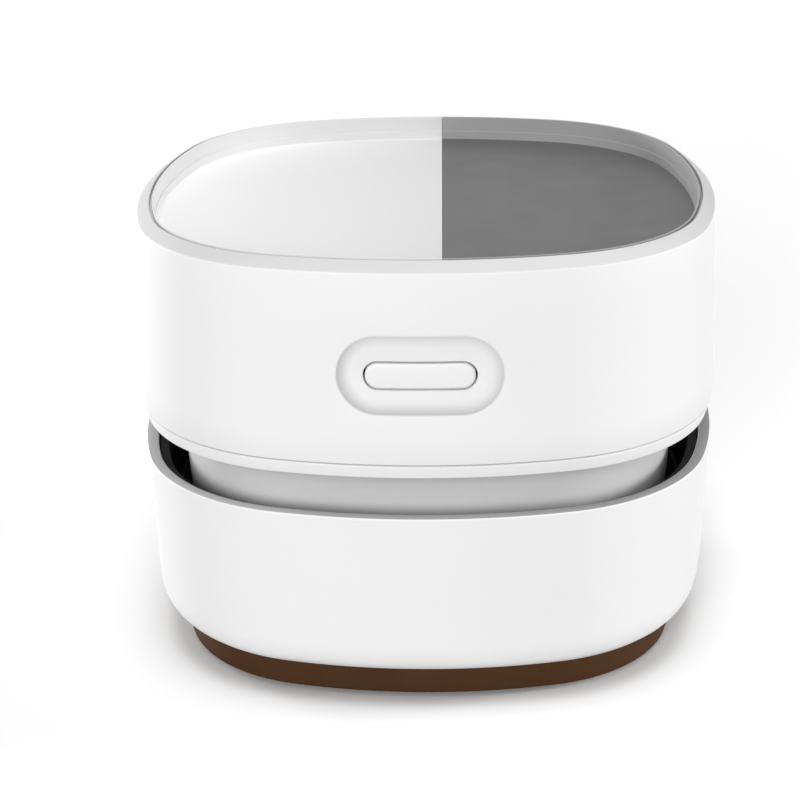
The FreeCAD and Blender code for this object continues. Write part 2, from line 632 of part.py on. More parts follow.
def radial_box(name, near, far, wide, height, z, angle):
    """A rib that runs outwards from near to far at an angle about the middle."""
    item = doc.addObject("Part::Box", name)
    item.setExpression("Length", "(%s) - (%s)" % (far, near))
    item.setExpression("Width", wide)
    item.setExpression("Height", height)
    item.Placement = FreeCAD.Placement(FreeCAD.Vector(), FreeCAD.Rotation(FreeCAD.Vector(0, 0, 1), 1))
    item.setExpression("Placement.Rotation.Angle", angle)
    place(item, "(%s) * cos(%s) + (%s) / 2 * sin(%s)" % (near, angle, wide, angle),
          "(%s) * sin(%s) - (%s) / 2 * cos(%s)" % (near, angle, wide, angle), z)
    return item


def screw(name, x, y, head_level, shank):
    """A pan-head screw. Its head starts at head_level and the shank goes up from it."""
    head = cylinder(name + "_head", "sizes.screw_head_radius", "sizes.screw_head_height",
                    x, y, head_level)
    thread = cylinder(name + "_shank", "sizes.screw_radius", shank, x, y,
                      "%s + sizes.screw_head_height" % head_level)
    return fuse(name, [head, thread])


# Brown base with its suction mouth, bristles, feet and screws

def tuft_places():
    """Position rules of every bristle tuft, in two rows round the mouth."""
    rules = []
    for circle, count in (("sizes.outer_tuft_circle", "sizes.outer_tufts"),
                          ("sizes.inner_tuft_circle", "sizes.inner_tufts")):
        for index in range(int(value(count))):
            rules.append(around(circle, count, index, "sizes.tuft_turn"))
    return rules


def make_base():
    block = bowl("base_block", "places.base_half_width", "places.base_level",
                 "places.base_half_width", "places.shell_level", "sizes.base_edge_round")
    recess = slab("base_recess", "(places.base_half_width - sizes.skirt_wall)", "places.base_level",
                  "places.plate_level - places.base_level")
    kept = [ring("mouth_rib", "sizes.mouth_radius + sizes.mouth_rib_wall", "sizes.mouth_radius",
                 "sizes.mouth_rib_height", "places.plate_level - sizes.mouth_rib_height")]
    for index, (x, y) in enumerate(four_corners("places.foot_place")):
        kept.append(cylinder("foot_boss_%d" % index, "sizes.foot_radius + sizes.foot_boss_wall",
                             "places.plate_level - sizes.foot_thickness", x, y, "sizes.foot_thickness"))
    for index in range(8):
        kept.append(radial_box("base_rib_%d" % index, "sizes.mouth_radius + sizes.mouth_rib_wall / 2",
                               "places.base_half_width", "sizes.base_rib_width", "sizes.mouth_rib_height",
                               "places.plate_level - sizes.mouth_rib_height",
                               "(%d + sizes.base_rib_turn)" % (45 * index)))
    hollow = cut("base_hollow", recess, kept)
    tools = [hollow, cylinder("mouth_bore", "sizes.mouth_radius", "sizes.base_height", z="places.base_level")]
    for index, (x, y) in enumerate(tuft_places()):
        tools.append(cylinder("tuft_hole_%d" % index, "sizes.tuft_radius + sizes.seat_clear",
                              "sizes.tuft_seat + sizes.mouth_rib_height", x, y,
                              "places.plate_level - sizes.mouth_rib_height"))
    for index, (x, y) in enumerate(four_ways("sizes.base_screw_circle")):
        tools.append(cylinder("base_hole_%d" % index, "sizes.screw_radius + sizes.fit_clear",
                              "sizes.base_height", x, y, "places.base_level"))
        tools.append(cylinder("base_sink_%d" % index, "sizes.screw_head_radius + sizes.fit_clear",
                              "sizes.screw_head_height", x, y, "places.plate_level"))
    cut("base_plate", block, tools)

    tufts = []
    for index, (x, y) in enumerate(tuft_places()):
        tufts.append(cylinder("tuft_%d" % index, "sizes.tuft_radius",
                              "places.plate_level + sizes.tuft_seat - sizes.tuft_clear",
                              x, y, "sizes.tuft_clear"))
    group("bristle_tufts", tufts)
    feet = [cylinder("foot_%d" % index, "sizes.foot_radius", "sizes.foot_thickness", x, y)
            for index, (x, y) in enumerate(four_corners("places.foot_place"))]
    group("glide_feet", feet)
    shank = ("places.cup_floor_level + sizes.base_post_height - sizes.screw_tip_gap"
             " - places.plate_level - sizes.screw_head_height")
    group("base_screws", [screw("base_screw_%d" % index, x, y, "places.plate_level", shank)
                          for index, (x, y) in enumerate(four_ways("sizes.base_screw_circle"))])


# Dust box: white shell, black cup in it and the inlet chimney

def make_dust_box():
    tube = "sizes.mouth_radius + sizes.chimney_wall"
    outer = bowl("shell_block", "places.shell_foot_half_width", "places.shell_level",
                 "places.shell_rim_half_width", "places.rim_level", "sizes.shell_edge_round")
    inner = bowl("shell_well", "(places.shell_foot_half_width - sizes.shell_wall)", "places.cup_level",
                 "(places.shell_rim_half_width - sizes.shell_wall)", "places.rim_level",
                 "sizes.shell_edge_round - sizes.shell_wall")
    tools = [inner, cylinder("shell_mouth", tube + " + sizes.fit_clear", "sizes.shell_wall",
                             z="places.shell_level")]
    for index, (x, y) in enumerate(four_ways("sizes.base_screw_circle")):
        tools.append(cylinder("shell_hole_%d" % index, "sizes.screw_radius + sizes.fit_clear",
                              "sizes.shell_wall", x, y, "places.shell_level"))
    cut("lower_shell", outer, tools)

    cup_edge = "sizes.shell_edge_round - sizes.shell_wall + sizes.cup_gap"
    cup = bowl("cup_block", "places.cup_foot", "places.cup_level", "places.cup_rim",
               "places.cup_rim_level", cup_edge)
    well = bowl("cup_well", "(places.cup_foot - sizes.cup_wall)", "places.cup_floor_level",
                "(places.cup_rim - sizes.cup_wall)", "places.cup_rim_level",
                cup_edge + " - sizes.cup_wall")
    kept = []
    for index in range(8):
        kept.append(radial_box("rest_rib_%d" % index, "places.flange_half_width - sizes.rest_rib_overlap",
                               "places.cup_rim + sizes.cut_reach", "sizes.rest_rib_width",
                               "places.rest_level - places.cup_floor_level", "places.cup_floor_level",
                               "(%d %s sizes.rest_rib_turn)" % (90 * (index // 2), "+-"[index % 2])))
    for index, (x, y) in enumerate(four_ways("sizes.base_screw_circle")):
        kept.append(cylinder("cup_post_%d" % index, "sizes.post_radius", "sizes.base_post_height",
                             x, y, "places.cup_floor_level"))
    space = cut("cup_space", well, kept)
    tools = [space, cylinder("cup_mouth", tube + " + sizes.fit_clear", "sizes.cup_wall",
                             z="places.cup_level")]
    for index, (x, y) in enumerate(four_ways("sizes.base_screw_circle")):
        tools.append(cylinder("cup_hole_%d" % index, "sizes.screw_radius + sizes.seat_clear",
                              "sizes.base_post_height + sizes.cup_wall", x, y, "places.cup_level"))
    cut("dust_cup", cup, tools)

    whole = "places.cup_floor_level + sizes.chimney_top - places.shell_level"
    walls = fuse("chimney_walls", [
        cylinder("chimney_tube", tube, whole, z="places.shell_level"),
        cylinder("chimney_rim", tube + " + sizes.chimney_flange", "sizes.chimney_flange_height",
                 z="places.cup_floor_level")])
    tools = [cylinder("chimney_bore", "sizes.mouth_radius", whole + " - sizes.chimney_cap",
                      z="places.shell_level")]
    window_level = "places.cup_floor_level + sizes.chimney_flange_height + sizes.window_sill"
    window_height = "sizes.chimney_top - sizes.chimney_cap - sizes.chimney_flange_height - sizes.window_sill"
    for index in range(2):
        wide, deep = "sizes.window_width", "4 * sizes.mouth_radius"
        if index:
            wide, deep = deep, wide
        tools.append(box("chimney_window_%d" % index, wide, deep, window_height, z=window_level))
    cut("inlet_chimney", walls, tools)


# Head: upper housing with its tray, button dish and charging port

def button_dish():
    """The shallow dish: a pill-shaped cut that ends at an even depth below the curved front."""
    block = pill_block("dish_block", "(sizes.dish_length + 2 * places.dish_flare)",
                       "(sizes.dish_height + 2 * places.dish_flare)", "places.cut_front",
                       "sizes.button_level", "3 * sizes.cut_reach")
    depth = "sizes.dish_depth"
    core = drafted("dish_core", "(sizes.seam_half_width - %s)" % depth, "places.seam_level",
                   "(places.top_half_width - %s)" % depth, "places.chamfer_level")
    raw = cut("dish_raw", block, [core])
    doc.recompute()
    item = doc.addObject("Part::Fillet", "dish_cut")
    item.Base = raw
    limit = -value("sizes.seam_half_width") - 1
    radius = value("sizes.dish_round")
    rounds = []
    for number, edge in enumerate(raw.Shape.Edges, start=1):
        span = edge.BoundBox
        if span.YMin > limit and span.YMax < 0:
            rounds.append((number, radius, radius))
    item.Edges = rounds
    return item


def make_upper_housing():
    walls = drafted("housing_walls", "sizes.seam_half_width", "places.seam_level + sizes.seam_gap",
                    "places.top_half_width", "places.chamfer_level")
    crown = drafted("housing_crown", "places.top_half_width", "places.chamfer_level",
                    "places.rim_inner", "places.top_level")
    block = fuse("housing_block", [walls, crown])
    room = drafted("housing_room", "(sizes.seam_half_width - sizes.housing_wall)",
                   "places.seam_level + sizes.seam_gap", "places.inner_top", "places.ledge_under")
    kept = [pill_block("button_guide", "sizes.dish_length + 2 * sizes.guide_wall",
                       "sizes.dish_height + 2 * sizes.guide_wall", "places.cut_front",
                       "sizes.button_level", "places.cut_front - places.guide_back")]
    boss_level = "places.seam_level + sizes.seam_gap"
    for index, (x, y) in enumerate(four_corners("places.case_boss")):
        kept.append(cylinder("case_boss_%d" % index, "sizes.case_boss_radius", "sizes.case_boss_height",
                             x, y, boss_level))
    tools = [cut("housing_space", room, kept),
             slab("tray_well", "places.rim_inner", "places.ledge_level",
                  "places.top_level - places.ledge_level"),
             slab("ledge_hole", "(places.rim_inner - sizes.tray_ledge)", "places.ledge_under",
                  "sizes.ledge_thickness"),
             button_dish(),
             pill_block("button_hole", "sizes.button_length + 2 * sizes.button_clear",
                        "sizes.button_height + 2 * sizes.button_clear", "places.cut_front",
                        "sizes.button_level", "places.cut_front - places.guide_back + sizes.cut_reach"),
             pill_block("port_hole", "sizes.socket_width + 2 * sizes.port_clear",
                        "sizes.socket_height + 2 * sizes.port_clear",
                        "(sizes.cut_reach - places.port_half_width)", "places.port_level",
                        "2 * sizes.cut_reach"),
             cylinder("light_hole", "sizes.light_radius + sizes.fit_clear", "2 * sizes.cut_reach",
                      "sizes.light_offset", "places.port_half_width - sizes.cut_reach",
                      "places.port_level", "y")]
    for index, (x, y) in enumerate(four_corners("places.case_boss")):
        tools.append(cylinder("case_hole_%d" % index, "sizes.screw_radius + sizes.seat_clear",
                              "sizes.case_screw_length", x, y, boss_level))
    cut("upper_housing", block, tools)


def make_tray():
    outer = "(places.rim_inner - sizes.tray_clear)"
    height = "sizes.tray_depth + sizes.tray_floor - sizes.tray_drop"
    inner = "places.rim_inner - sizes.tray_clear - sizes.tray_wall"
    whole = cut("tray_whole", slab("tray_block", outer, "places.ledge_level", height),
                [slab("tray_pan", "(%s)" % inner, "places.floor_level", "sizes.tray_depth - sizes.tray_drop"),
                 slab("tray_upper", "(%s + sizes.tray_step)" % inner,
                      "places.top_level - sizes.tray_drop - sizes.tray_step_depth",
                      "sizes.tray_step_depth")])
    reach = "4 * places.top_half_width"
    for name, side in (("tray_left", -1), ("tray_right", 1)):
        half = doc.addObject("Part::Box", name + "_side")
        half.setExpression("Length", reach)
        half.setExpression("Width", reach)
        half.setExpression("Height", "2 * (%s)" % height)
        half.Placement = FreeCAD.Placement(FreeCAD.Vector(), FreeCAD.Rotation(FreeCAD.Vector(0, 0, 1), 1))
        half.setExpression("Placement.Rotation.Angle", "sizes.tray_split_turn")
        turn = "sizes.tray_split_turn"
        along = "%d * sizes.tray_split_gap / 2 - %s" % (side, "0" if side > 0 else reach)
        place(half, "sizes.tray_split + (%s) * cos(%s) + (%s) / 2 * sin(%s)" % (along, turn, reach, turn),
              "(%s) * sin(%s) - (%s) / 2 * cos(%s)" % (along, turn, reach, turn),
              "places.ledge_level - sizes.tray_floor")
        common(name, whole, half)


# Lower housing of the head: lip, neck with exhaust slots, and the deck that carries the works

def exhaust_slots():
    """Upright slots in the rear flank, the rear halves of the side flanks and the rear corners."""
    tools = []
    sill = "places.cover_level + sizes.slot_sill"
    reach = "places.neck_half_width - places.fan_bore + 2 * sizes.slot_overrun"
    middle = "(places.neck_half_width + places.fan_bore) / 2"
    for index in range(-4, 5):
        tools.append(box("rear_slot_%d" % (index + 4), "sizes.slot_width", reach, "sizes.slot_height",
                         "%d * sizes.slot_pitch" % index, middle, sill))
    for index in range(1, 4):
        for side in (-1, 1):
            tools.append(box("side_slot_%d_%s" % (index, "l" if side < 0 else "r"), reach,
                             "sizes.slot_width", "sizes.slot_height",
                             "%d * %s" % (side, middle),
                             "(%d + 0.25) * sizes.slot_pitch" % index, sill))
    return tools


def make_lower_housing():
    lip = drafted("lip_block", "places.lip_half_width", "places.lip_level",
                  "sizes.seam_half_width", "places.seam_level")
    neck = drafted("neck_block", "places.neck_foot_half_width", "places.neck_level",
                   "places.neck_half_width", "places.lip_level")
    outside = fuse("deck_outside", [lip, neck])
    doc.recompute()
    rounded = doc.addObject("Part::Fillet", "deck_rounded")
    rounded.Base = outside
    radius = value("sizes.neck_round")
    between = (value("places.neck_half_width") + value("places.lip_half_width")) / 2
    rounds = []
    for name in edges_at(outside.Shape, value("places.lip_level")):
        edge = outside.Shape.getElement(name)
        if half_width_at(edge.valueAt((edge.FirstParameter + edge.LastParameter) / 2)) < between:
            rounds.append((int(name[4:]), radius, radius))
    rounded.Edges = rounds
    spigot = frame_ring("spigot", "places.spigot_outside", "(places.spigot_outside - sizes.spigot_wall)",
                        "places.seam_level", "sizes.spigot_height")
    corners = [cylinder("spigot_relief_%d" % index, "sizes.case_boss_radius + sizes.spigot_relief",
                        "sizes.spigot_height", x, y, "places.seam_level")
               for index, (x, y) in enumerate(four_corners("places.case_boss"))]
    added = [cut("spigot_cut", spigot, corners)]
    for index, (x, y) in enumerate(board_posts()):
        added.append(cylinder("standoff_%d" % index, "sizes.standoff_radius", "sizes.standoff_height",
                              x, y, "places.seam_level"))
    for index, side in enumerate((-1, 1)):
        rib = box("slot_rib_%d" % index, "sizes.slot_rib_length",
                  "sizes.board_thickness + 2 * sizes.slot_rib",
                  "sizes.slot_rib_height", "%d * (sizes.switch_board_width / 2)" % side,
                  "-(places.switch_back - sizes.board_thickness / 2)", "places.seam_level")
        added.append(rib)
    body = fuse("deck_body", [rounded] + added)

    tools = [slab("filter_room", "places.cover_bore", "places.neck_level",
                  "places.cover_level - places.neck_level"),
             slab("fan_room_space", "places.fan_bore", "places.cover_level",
                  "places.lip_level - places.cover_level"),
             cylinder("boss_hole", "sizes.motor_boss_radius + sizes.boss_clear", "sizes.lip_height",
                      z="places.lip_level"),
             box("board_slot", "sizes.switch_board_width + 2 * sizes.fit_clear",
                 "sizes.board_thickness + 2 * sizes.fit_clear", "sizes.slot_rib_height",
                 "0", "-(places.switch_back - sizes.board_thickness / 2)",
                 "places.seam_level + sizes.slot_floor")]
    tools += exhaust_slots()
    for index, side in enumerate((-1, 1)):
        x = "%d * sizes.motor_screw_offset" % side
        tools.append(cylinder("motor_hole_%d" % index, "sizes.screw_radius + sizes.fit_clear",
                              "sizes.lip_height", x, "0", "places.lip_level"))
        tools.append(cylinder("motor_sink_%d" % index, "sizes.screw_head_radius + sizes.fit_clear",
                              "sizes.screw_head_height", x, "0", "places.lip_level"))
    for index, (x, y) in enumerate(four_corners("places.case_boss")):
        tools.append(cylinder("lip_hole_%d" % index, "sizes.screw_radius + sizes.fit_clear",
                              "sizes.lip_height", x, y, "places.lip_level"))
        tools.append(cylinder("lip_sink_%d" % index, "sizes.screw_head_radius + sizes.fit_clear",
                              "sizes.screw_head_height", x, y, "places.lip_level"))
    for index, (x, y) in enumerate(board_posts()):
        tools.append(cylinder("standoff_bore_%d" % index, "sizes.pilot_radius", "sizes.standoff_height",
                              x, y, "places.seam_level"))
    cut("lower_housing", body, tools)
    shank = "sizes.lip_height - sizes.screw_head_height + sizes.case_screw_length - sizes.screw_tip_gap"
    group("case_screws", [screw("case_screw_%d" % index, x, y, "places.lip_level", shank)
                          for index, (x, y) in enumerate(four_corners("places.case_boss"))])


# Fan cover, filter and seal

def make_filter():
    plate = slab("cover_plate", "(places.cover_bore - sizes.cover_clear)", "places.cover_under",
                 "sizes.cover_thickness")
    collar_level = "places.cover_under - sizes.eye_collar_height"
    collar = cylinder("cover_collar", "sizes.eye_radius + sizes.eye_collar_wall",
                      "sizes.eye_collar_height", z=collar_level)
    eye = cylinder("cover_eye", "sizes.eye_radius", "sizes.cover_thickness + sizes.eye_collar_height",
                   z=collar_level)
    cut("fan_cover", fuse("cover_block", [plate, collar]), [eye])

    flange = slab("filter_flange", "places.flange_half_width", "places.flange_level",
                  "sizes.flange_thickness")
    near = "places.cage_radius + sizes.flange_window_gap"
    far = near + " + sizes.flange_window_reach"
    spokes = [radial_box("flange_spoke_%d" % index, "sizes.media_inner_radius", "places.flange_half_width",
                         "sizes.flange_spoke", "sizes.flange_thickness", "places.flange_level",
                         "(360 * %d / sizes.flange_windows)" % index)
              for index in range(int(value("sizes.flange_windows")))]
    windows = cut("flange_window_ring", ring("flange_band", far, near, "sizes.flange_thickness",
                                             "places.flange_level"), spokes)
    cage_inside = "sizes.media_outer_radius + sizes.seat_clear"
    pieces = [cut("filter_rim", flange, [windows]),
              ring("cage_ring", "places.cage_radius", cage_inside, "sizes.cage_ring_height",
                   "places.neck_level + places.media_height - sizes.cage_ring_height")]
    for index in range(int(value("sizes.cage_ribs"))):
        pieces.append(radial_box("cage_rib_%d" % index, cage_inside, "places.cage_radius",
                                 "sizes.cage_rib_width", "sizes.flange_thickness + places.media_height",
                                 "places.flange_level", "(360 * %d / sizes.cage_ribs)" % index))
    fuse("filter_frame", pieces)

    body = doc.addObject("PartDesign::Body", "filter_media")
    sketch = new_sketch("pleat_outline", body)
    pleats = int(value("sizes.pleats"))
    outer = value("sizes.media_outer_radius")
    inner = value("sizes.media_inner_radius")
    fold = value("sizes.media_fold")
    for outline in ((outer, inner + fold), (outer - fold, inner)):
        corners = []
        for index in range(2 * pleats):
            angle = math.pi * index / pleats
            radius = outline[index % 2]
            corners.append(FreeCAD.Vector(radius * math.cos(angle), radius * math.sin(angle), 0))
        for start, end in zip(corners, corners[1:] + corners[:1]):
            sketch.addGeometry(Part.LineSegment(start, end), False)
    set_level(sketch, "places.neck_level", body)
    pad = body.newObject("PartDesign::Pad", "pleat_walls")
    pad.Profile = sketch
    pad.setExpression("Length", "places.media_height")

    frame_ring("filter_seal", "places.seal_half_width", "(places.flange_half_width + sizes.seal_clear)",
               "places.seal_level", "sizes.seal_height")


# Impeller with backward-curved blades

def circle_pad(body, name, radius, level, height):
    """A round pad, or a bore where the body already has material."""
    sketch = new_sketch(name + "_outline", body)
    sketch.addGeometry(Part.Circle(FreeCAD.Vector(), FreeCAD.Vector(0, 0, 1), value(radius)), False)
    sketch.addConstraint(Sketcher.Constraint("Coincident", 0, 3, -1, 1))
    tie(sketch, "Radius", 0, rule=radius, label="radius")
    set_level(sketch, level, body)
    pad = body.newObject("PartDesign::Pad", name)
    pad.Profile = sketch
    pad.setExpression("Length", height)


def blade_outline(body):
    """One blade: two concentric arcs that end on the blades' inner and outer circles."""
    sketch = new_sketch("blade_outline", body)
    up = FreeCAD.Vector(0, 0, 1)
    offset = value("places.blade_centre")
    middle = value("sizes.blade_arc_radius")
    half = value("sizes.blade_thickness") / 2
    circles = (value("places.blade_inner_radius"), value("places.blade_outer_radius"))
    centre = FreeCAD.Vector(offset, 0, 0)
    ends = []
    for radius in (middle + half, middle - half):
        angles = []
        for circle in circles:
            cosine = (circle ** 2 + offset ** 2 - radius ** 2) / (2 * circle * offset)
            x = circle * cosine
            y = circle * math.sqrt(1 - cosine ** 2)
            angles.append(math.atan2(y, x - offset))
        arc = Part.ArcOfCircle(Part.Circle(centre, up, radius), angles[1], angles[0])
        sketch.addGeometry(arc, False)
        ends.append((arc.StartPoint, arc.EndPoint))
    for circle in circles:
        sketch.addGeometry(Part.Circle(FreeCAD.Vector(), up, circle), True)
    sketch.addGeometry(Part.LineSegment(ends[0][0], ends[1][0]), False)
    sketch.addGeometry(Part.LineSegment(ends[0][1], ends[1][1]), False)
    add = sketch.addConstraint
    add(Sketcher.Constraint("PointOnObject", 0, 3, -1))
    add(Sketcher.Constraint("Coincident", 1, 3, 0, 3))
    add(Sketcher.Constraint("Coincident", 2, 3, -1, 1))
    add(Sketcher.Constraint("Coincident", 3, 3, -1, 1))
    for arc, line_end in ((0, 1), (1, 2)):
        add(Sketcher.Constraint("Coincident", arc, 1, 4, line_end))
        add(Sketcher.Constraint("Coincident", arc, 2, 5, line_end))
        add(Sketcher.Constraint("PointOnObject", arc, 1, 3))
        add(Sketcher.Constraint("PointOnObject", arc, 2, 2))
    tie(sketch, "DistanceX", -1, 1, 0, 3, rule="places.blade_centre", label="arc_centre")
    tie(sketch, "Radius", 0, rule="sizes.blade_arc_radius + sizes.blade_thickness / 2", label="back")
    tie(sketch, "Radius", 1, rule="sizes.blade_arc_radius - sizes.blade_thickness / 2", label="face")
    tie(sketch, "Radius", 2, rule="places.blade_inner_radius", label="inner")
    tie(sketch, "Radius", 3, rule="places.blade_outer_radius", label="outer")
    set_level(sketch, "places.fan_front_level", body)
    return sketch


def make_impeller():
    body = doc.addObject("PartDesign::Body", "impeller")
    circle_pad(body, "fan_plate_pad", "sizes.fan_radius", "places.fan_back_level", "sizes.fan_plate")
    circle_pad(body, "fan_hub_pad", "sizes.hub_radius", "places.fan_front_level",
               "places.fan_back_level - places.fan_front_level")
    outline = blade_outline(body)
    blade = body.newObject("PartDesign::Pad", "blade_pad")
    blade.Profile = outline
    blade.setExpression("Length", "places.fan_back_level - places.fan_front_level")
    doc.recompute()
    pattern = body.newObject("PartDesign::PolarPattern", "blade_pattern")
    pattern.Originals = [blade]
    pattern.Axis = (outline, ["N_Axis"])
    pattern.Angle = 360
    pattern.setExpression("Occurrences", "sizes.blades")
    body.Tip = pattern
    doc.recompute()
    bore = new_sketch("fan_bore_outline", body)
    bore.addGeometry(Part.Circle(FreeCAD.Vector(), FreeCAD.Vector(0, 0, 1), 1.0), False)
    bore.addConstraint(Sketcher.Constraint("Coincident", 0, 3, -1, 1))
    tie(bore, "Radius", 0, rule="sizes.shaft_radius + sizes.seat_clear", label="radius")
    set_level(bore, "places.fan_front_level", body)
    hole = body.newObject("PartDesign::Pocket", "fan_bore")
    hole.Profile = bore
    hole.Type = "ThroughAll"
    hole.Reversed = True
    body.Tip = hole
    doc.recompute()


# Motor

def sector(name, outer, inner, height, z, middle_angle, spread):
    """A piece of a round band, centred on an angle."""
    band = doc.addObject("Part::Cylinder", name + "_band")
    band.Placement = FreeCAD.Placement(FreeCAD.Vector(), FreeCAD.Rotation(FreeCAD.Vector(0, 0, 1), 1))
    band.setExpression("Radius", outer)
    band.setExpression("Height", height)
    band.setExpression("Angle", spread)
    band.setExpression("Placement.Rotation.Angle", "%s - %s / 2" % (middle_angle, spread))
    place(band, "0", "0", z)
    return cut(name, band, [cylinder(name + "_inside", inner, height, z=z)])


def make_motor():
    ring("motor_cushion", "sizes.motor_radius",
         "sizes.motor_screw_offset + sizes.screw_radius + sizes.cushion_margin",
         "sizes.cushion_thickness", "places.seam_level")
    inside = "sizes.motor_radius - sizes.motor_wall"
    boss = "sizes.motor_boss_radius"
    block = fuse("can_block", [
        cylinder("can_wall", "sizes.motor_radius", "sizes.motor_height", z="places.can_level"),
        cylinder("can_boss", boss, "sizes.motor_boss_height",
                 z="places.can_level - sizes.motor_boss_height")])
    tools = [cylinder("can_room", inside, "sizes.motor_height - sizes.motor_wall",
                      z="places.can_level + sizes.motor_wall"),
             cylinder("can_bore", "sizes.bush_radius + sizes.seat_clear",
                      "sizes.motor_boss_height + sizes.motor_wall",
                      z="places.can_level - sizes.motor_boss_height")]
    for index, side in enumerate((-1, 1)):
        tools.append(cylinder("can_screw_hole_%d" % index, "sizes.screw_radius + sizes.seat_clear",
                              "sizes.motor_wall", "%d * sizes.motor_screw_offset" % side, "0",
                              "places.can_level"))
    cut("motor_can", block, tools)

    cap = fuse("cap_block", [
        cylinder("cap_plug", inside + " - sizes.fit_clear", "sizes.plug_height",
                 z="places.can_top - sizes.plug_height"),
        cylinder("cap_plate", "sizes.motor_radius - sizes.cap_setback",
                 "sizes.end_cap_height - sizes.plug_height", z="places.can_top"),
        cylinder("cap_boss", boss, "sizes.cap_boss_height",
                 z="places.can_top + sizes.end_cap_height - sizes.plug_height")])
    cut("motor_end_cap", cap, [
        cylinder("cap_bore", "sizes.bush_radius + sizes.seat_clear",
                 "sizes.end_cap_height + sizes.cap_boss_height", z="places.can_top - sizes.plug_height"),
        cylinder("cap_recess", "sizes.commutator_radius + sizes.leaf_thickness + sizes.leaf_room",
                 "sizes.plug_height", z="places.can_top - sizes.plug_height")])
    bush_bore = "sizes.shaft_radius + sizes.shaft_clear"
    group("motor_bushes", [
        ring("lower_bush", "sizes.bush_radius", bush_bore, "sizes.motor_boss_height + sizes.motor_wall",
             "places.can_level - sizes.motor_boss_height"),
        ring("upper_bush", "sizes.bush_radius", bush_bore,
             "sizes.end_cap_height - sizes.plug_height + sizes.cap_boss_height", "places.can_top")])
    magnet_level = "places.core_level + (sizes.core_height - sizes.magnet_height) / 2"
    magnet_outer = inside + " - sizes.seat_clear"
    group("motor_magnets", [
        sector("magnet_%d" % index, magnet_outer, "(%s) - sizes.magnet_thickness" % magnet_outer,
               "sizes.magnet_height", magnet_level, angle, "sizes.magnet_angle")
        for index, angle in enumerate((90, 270))])
    leaf_level = "places.commutator_level + sizes.leaf_rise"
    leaf_place = "(sizes.commutator_radius + sizes.shaft_clear + sizes.leaf_thickness / 2)"
    leaves = []
    for index, side in enumerate((-1, 1)):
        leaves.append(box("leaf_%d" % index, "sizes.leaf_thickness", "sizes.leaf_width",
                          "places.can_top - sizes.leaf_gap - (%s)" % leaf_level,
                          "%d * %s" % (side, leaf_place), "0", leaf_level))
    group("motor_brushes", leaves)
    group("motor_terminals", [
        box("terminal_%d" % index, "sizes.terminal_thickness", "sizes.terminal_width",
            "sizes.terminal_height",
            "%d * sizes.terminal_offset" % side, "0",
            "places.can_top + sizes.end_cap_height - sizes.plug_height")
        for index, side in enumerate((-1, 1))])
    shank = "sizes.lip_height - sizes.screw_head_height + sizes.cushion_thickness + sizes.motor_wall"
    group("motor_screws", [
        screw("motor_screw_%d" % index, "%d * sizes.motor_screw_offset" % side, "0",
              "places.lip_level", shank) for index, side in enumerate((-1, 1))])


def make_rotor():
    shaft_end = "places.fan_front_level + sizes.shaft_setback"
    cylinder("motor_shaft", "sizes.shaft_radius",
             "places.can_top + sizes.end_cap_height + sizes.shaft_proud - (%s)" % shaft_end, z=shaft_end)
    bore = cylinder("core_bore", "sizes.shaft_radius + sizes.seat_clear", "sizes.core_height",
                    z="places.core_level")
    pieces = [cylinder("core_middle", "sizes.core_hub_radius", "sizes.core_height", z="places.core_level")]
    coils = []
    for index in range(3):
        angle = "%d" % (120 * index + 90)
        pieces.append(sector("pole_%d" % index, "places.core_radius",
                             "places.core_radius - sizes.pole_thickness", "sizes.core_height",
                             "places.core_level", angle, "sizes.pole_angle"))
        pieces.append(radial_box("pole_arm_%d" % index, "sizes.core_hub_radius / 2",
                                 "places.core_radius - sizes.pole_thickness / 2", "sizes.pole_arm",
                                 "sizes.core_height", "places.core_level", angle))
        for side in (-1, 1):
            wound = "((sizes.pole_arm + sizes.coil_thickness) / 2 + sizes.coil_gap)"
            near = "(sizes.core_hub_radius + sizes.coil_start)"
            across = "(sizes.coil_thickness / 2 - %d * %s)" % (side, wound)
            level = "places.core_level - sizes.coil_overhang"
            coil = radial_box("coil_%d_%s" % (index, "a" if side < 0 else "b"), near,
                              "places.core_radius - sizes.pole_thickness - sizes.coil_overhang",
                              "sizes.coil_thickness", "sizes.core_height + 2 * sizes.coil_overhang",
                              level, angle)
            place(coil, "%s * cos(%s) + %s * sin(%s)" % (near, angle, across, angle),
                  "%s * sin(%s) - %s * cos(%s)" % (near, angle, across, angle), level)
            coils.append(coil)
    cut("armature_core", fuse("core_block", pieces), [bore])
    group("armature_coils", coils)
    ring("commutator", "sizes.commutator_radius", "sizes.shaft_radius + sizes.seat_clear",
         "sizes.commutator_height", "places.commutator_level")


# Battery, circuit board, charging socket and charge light

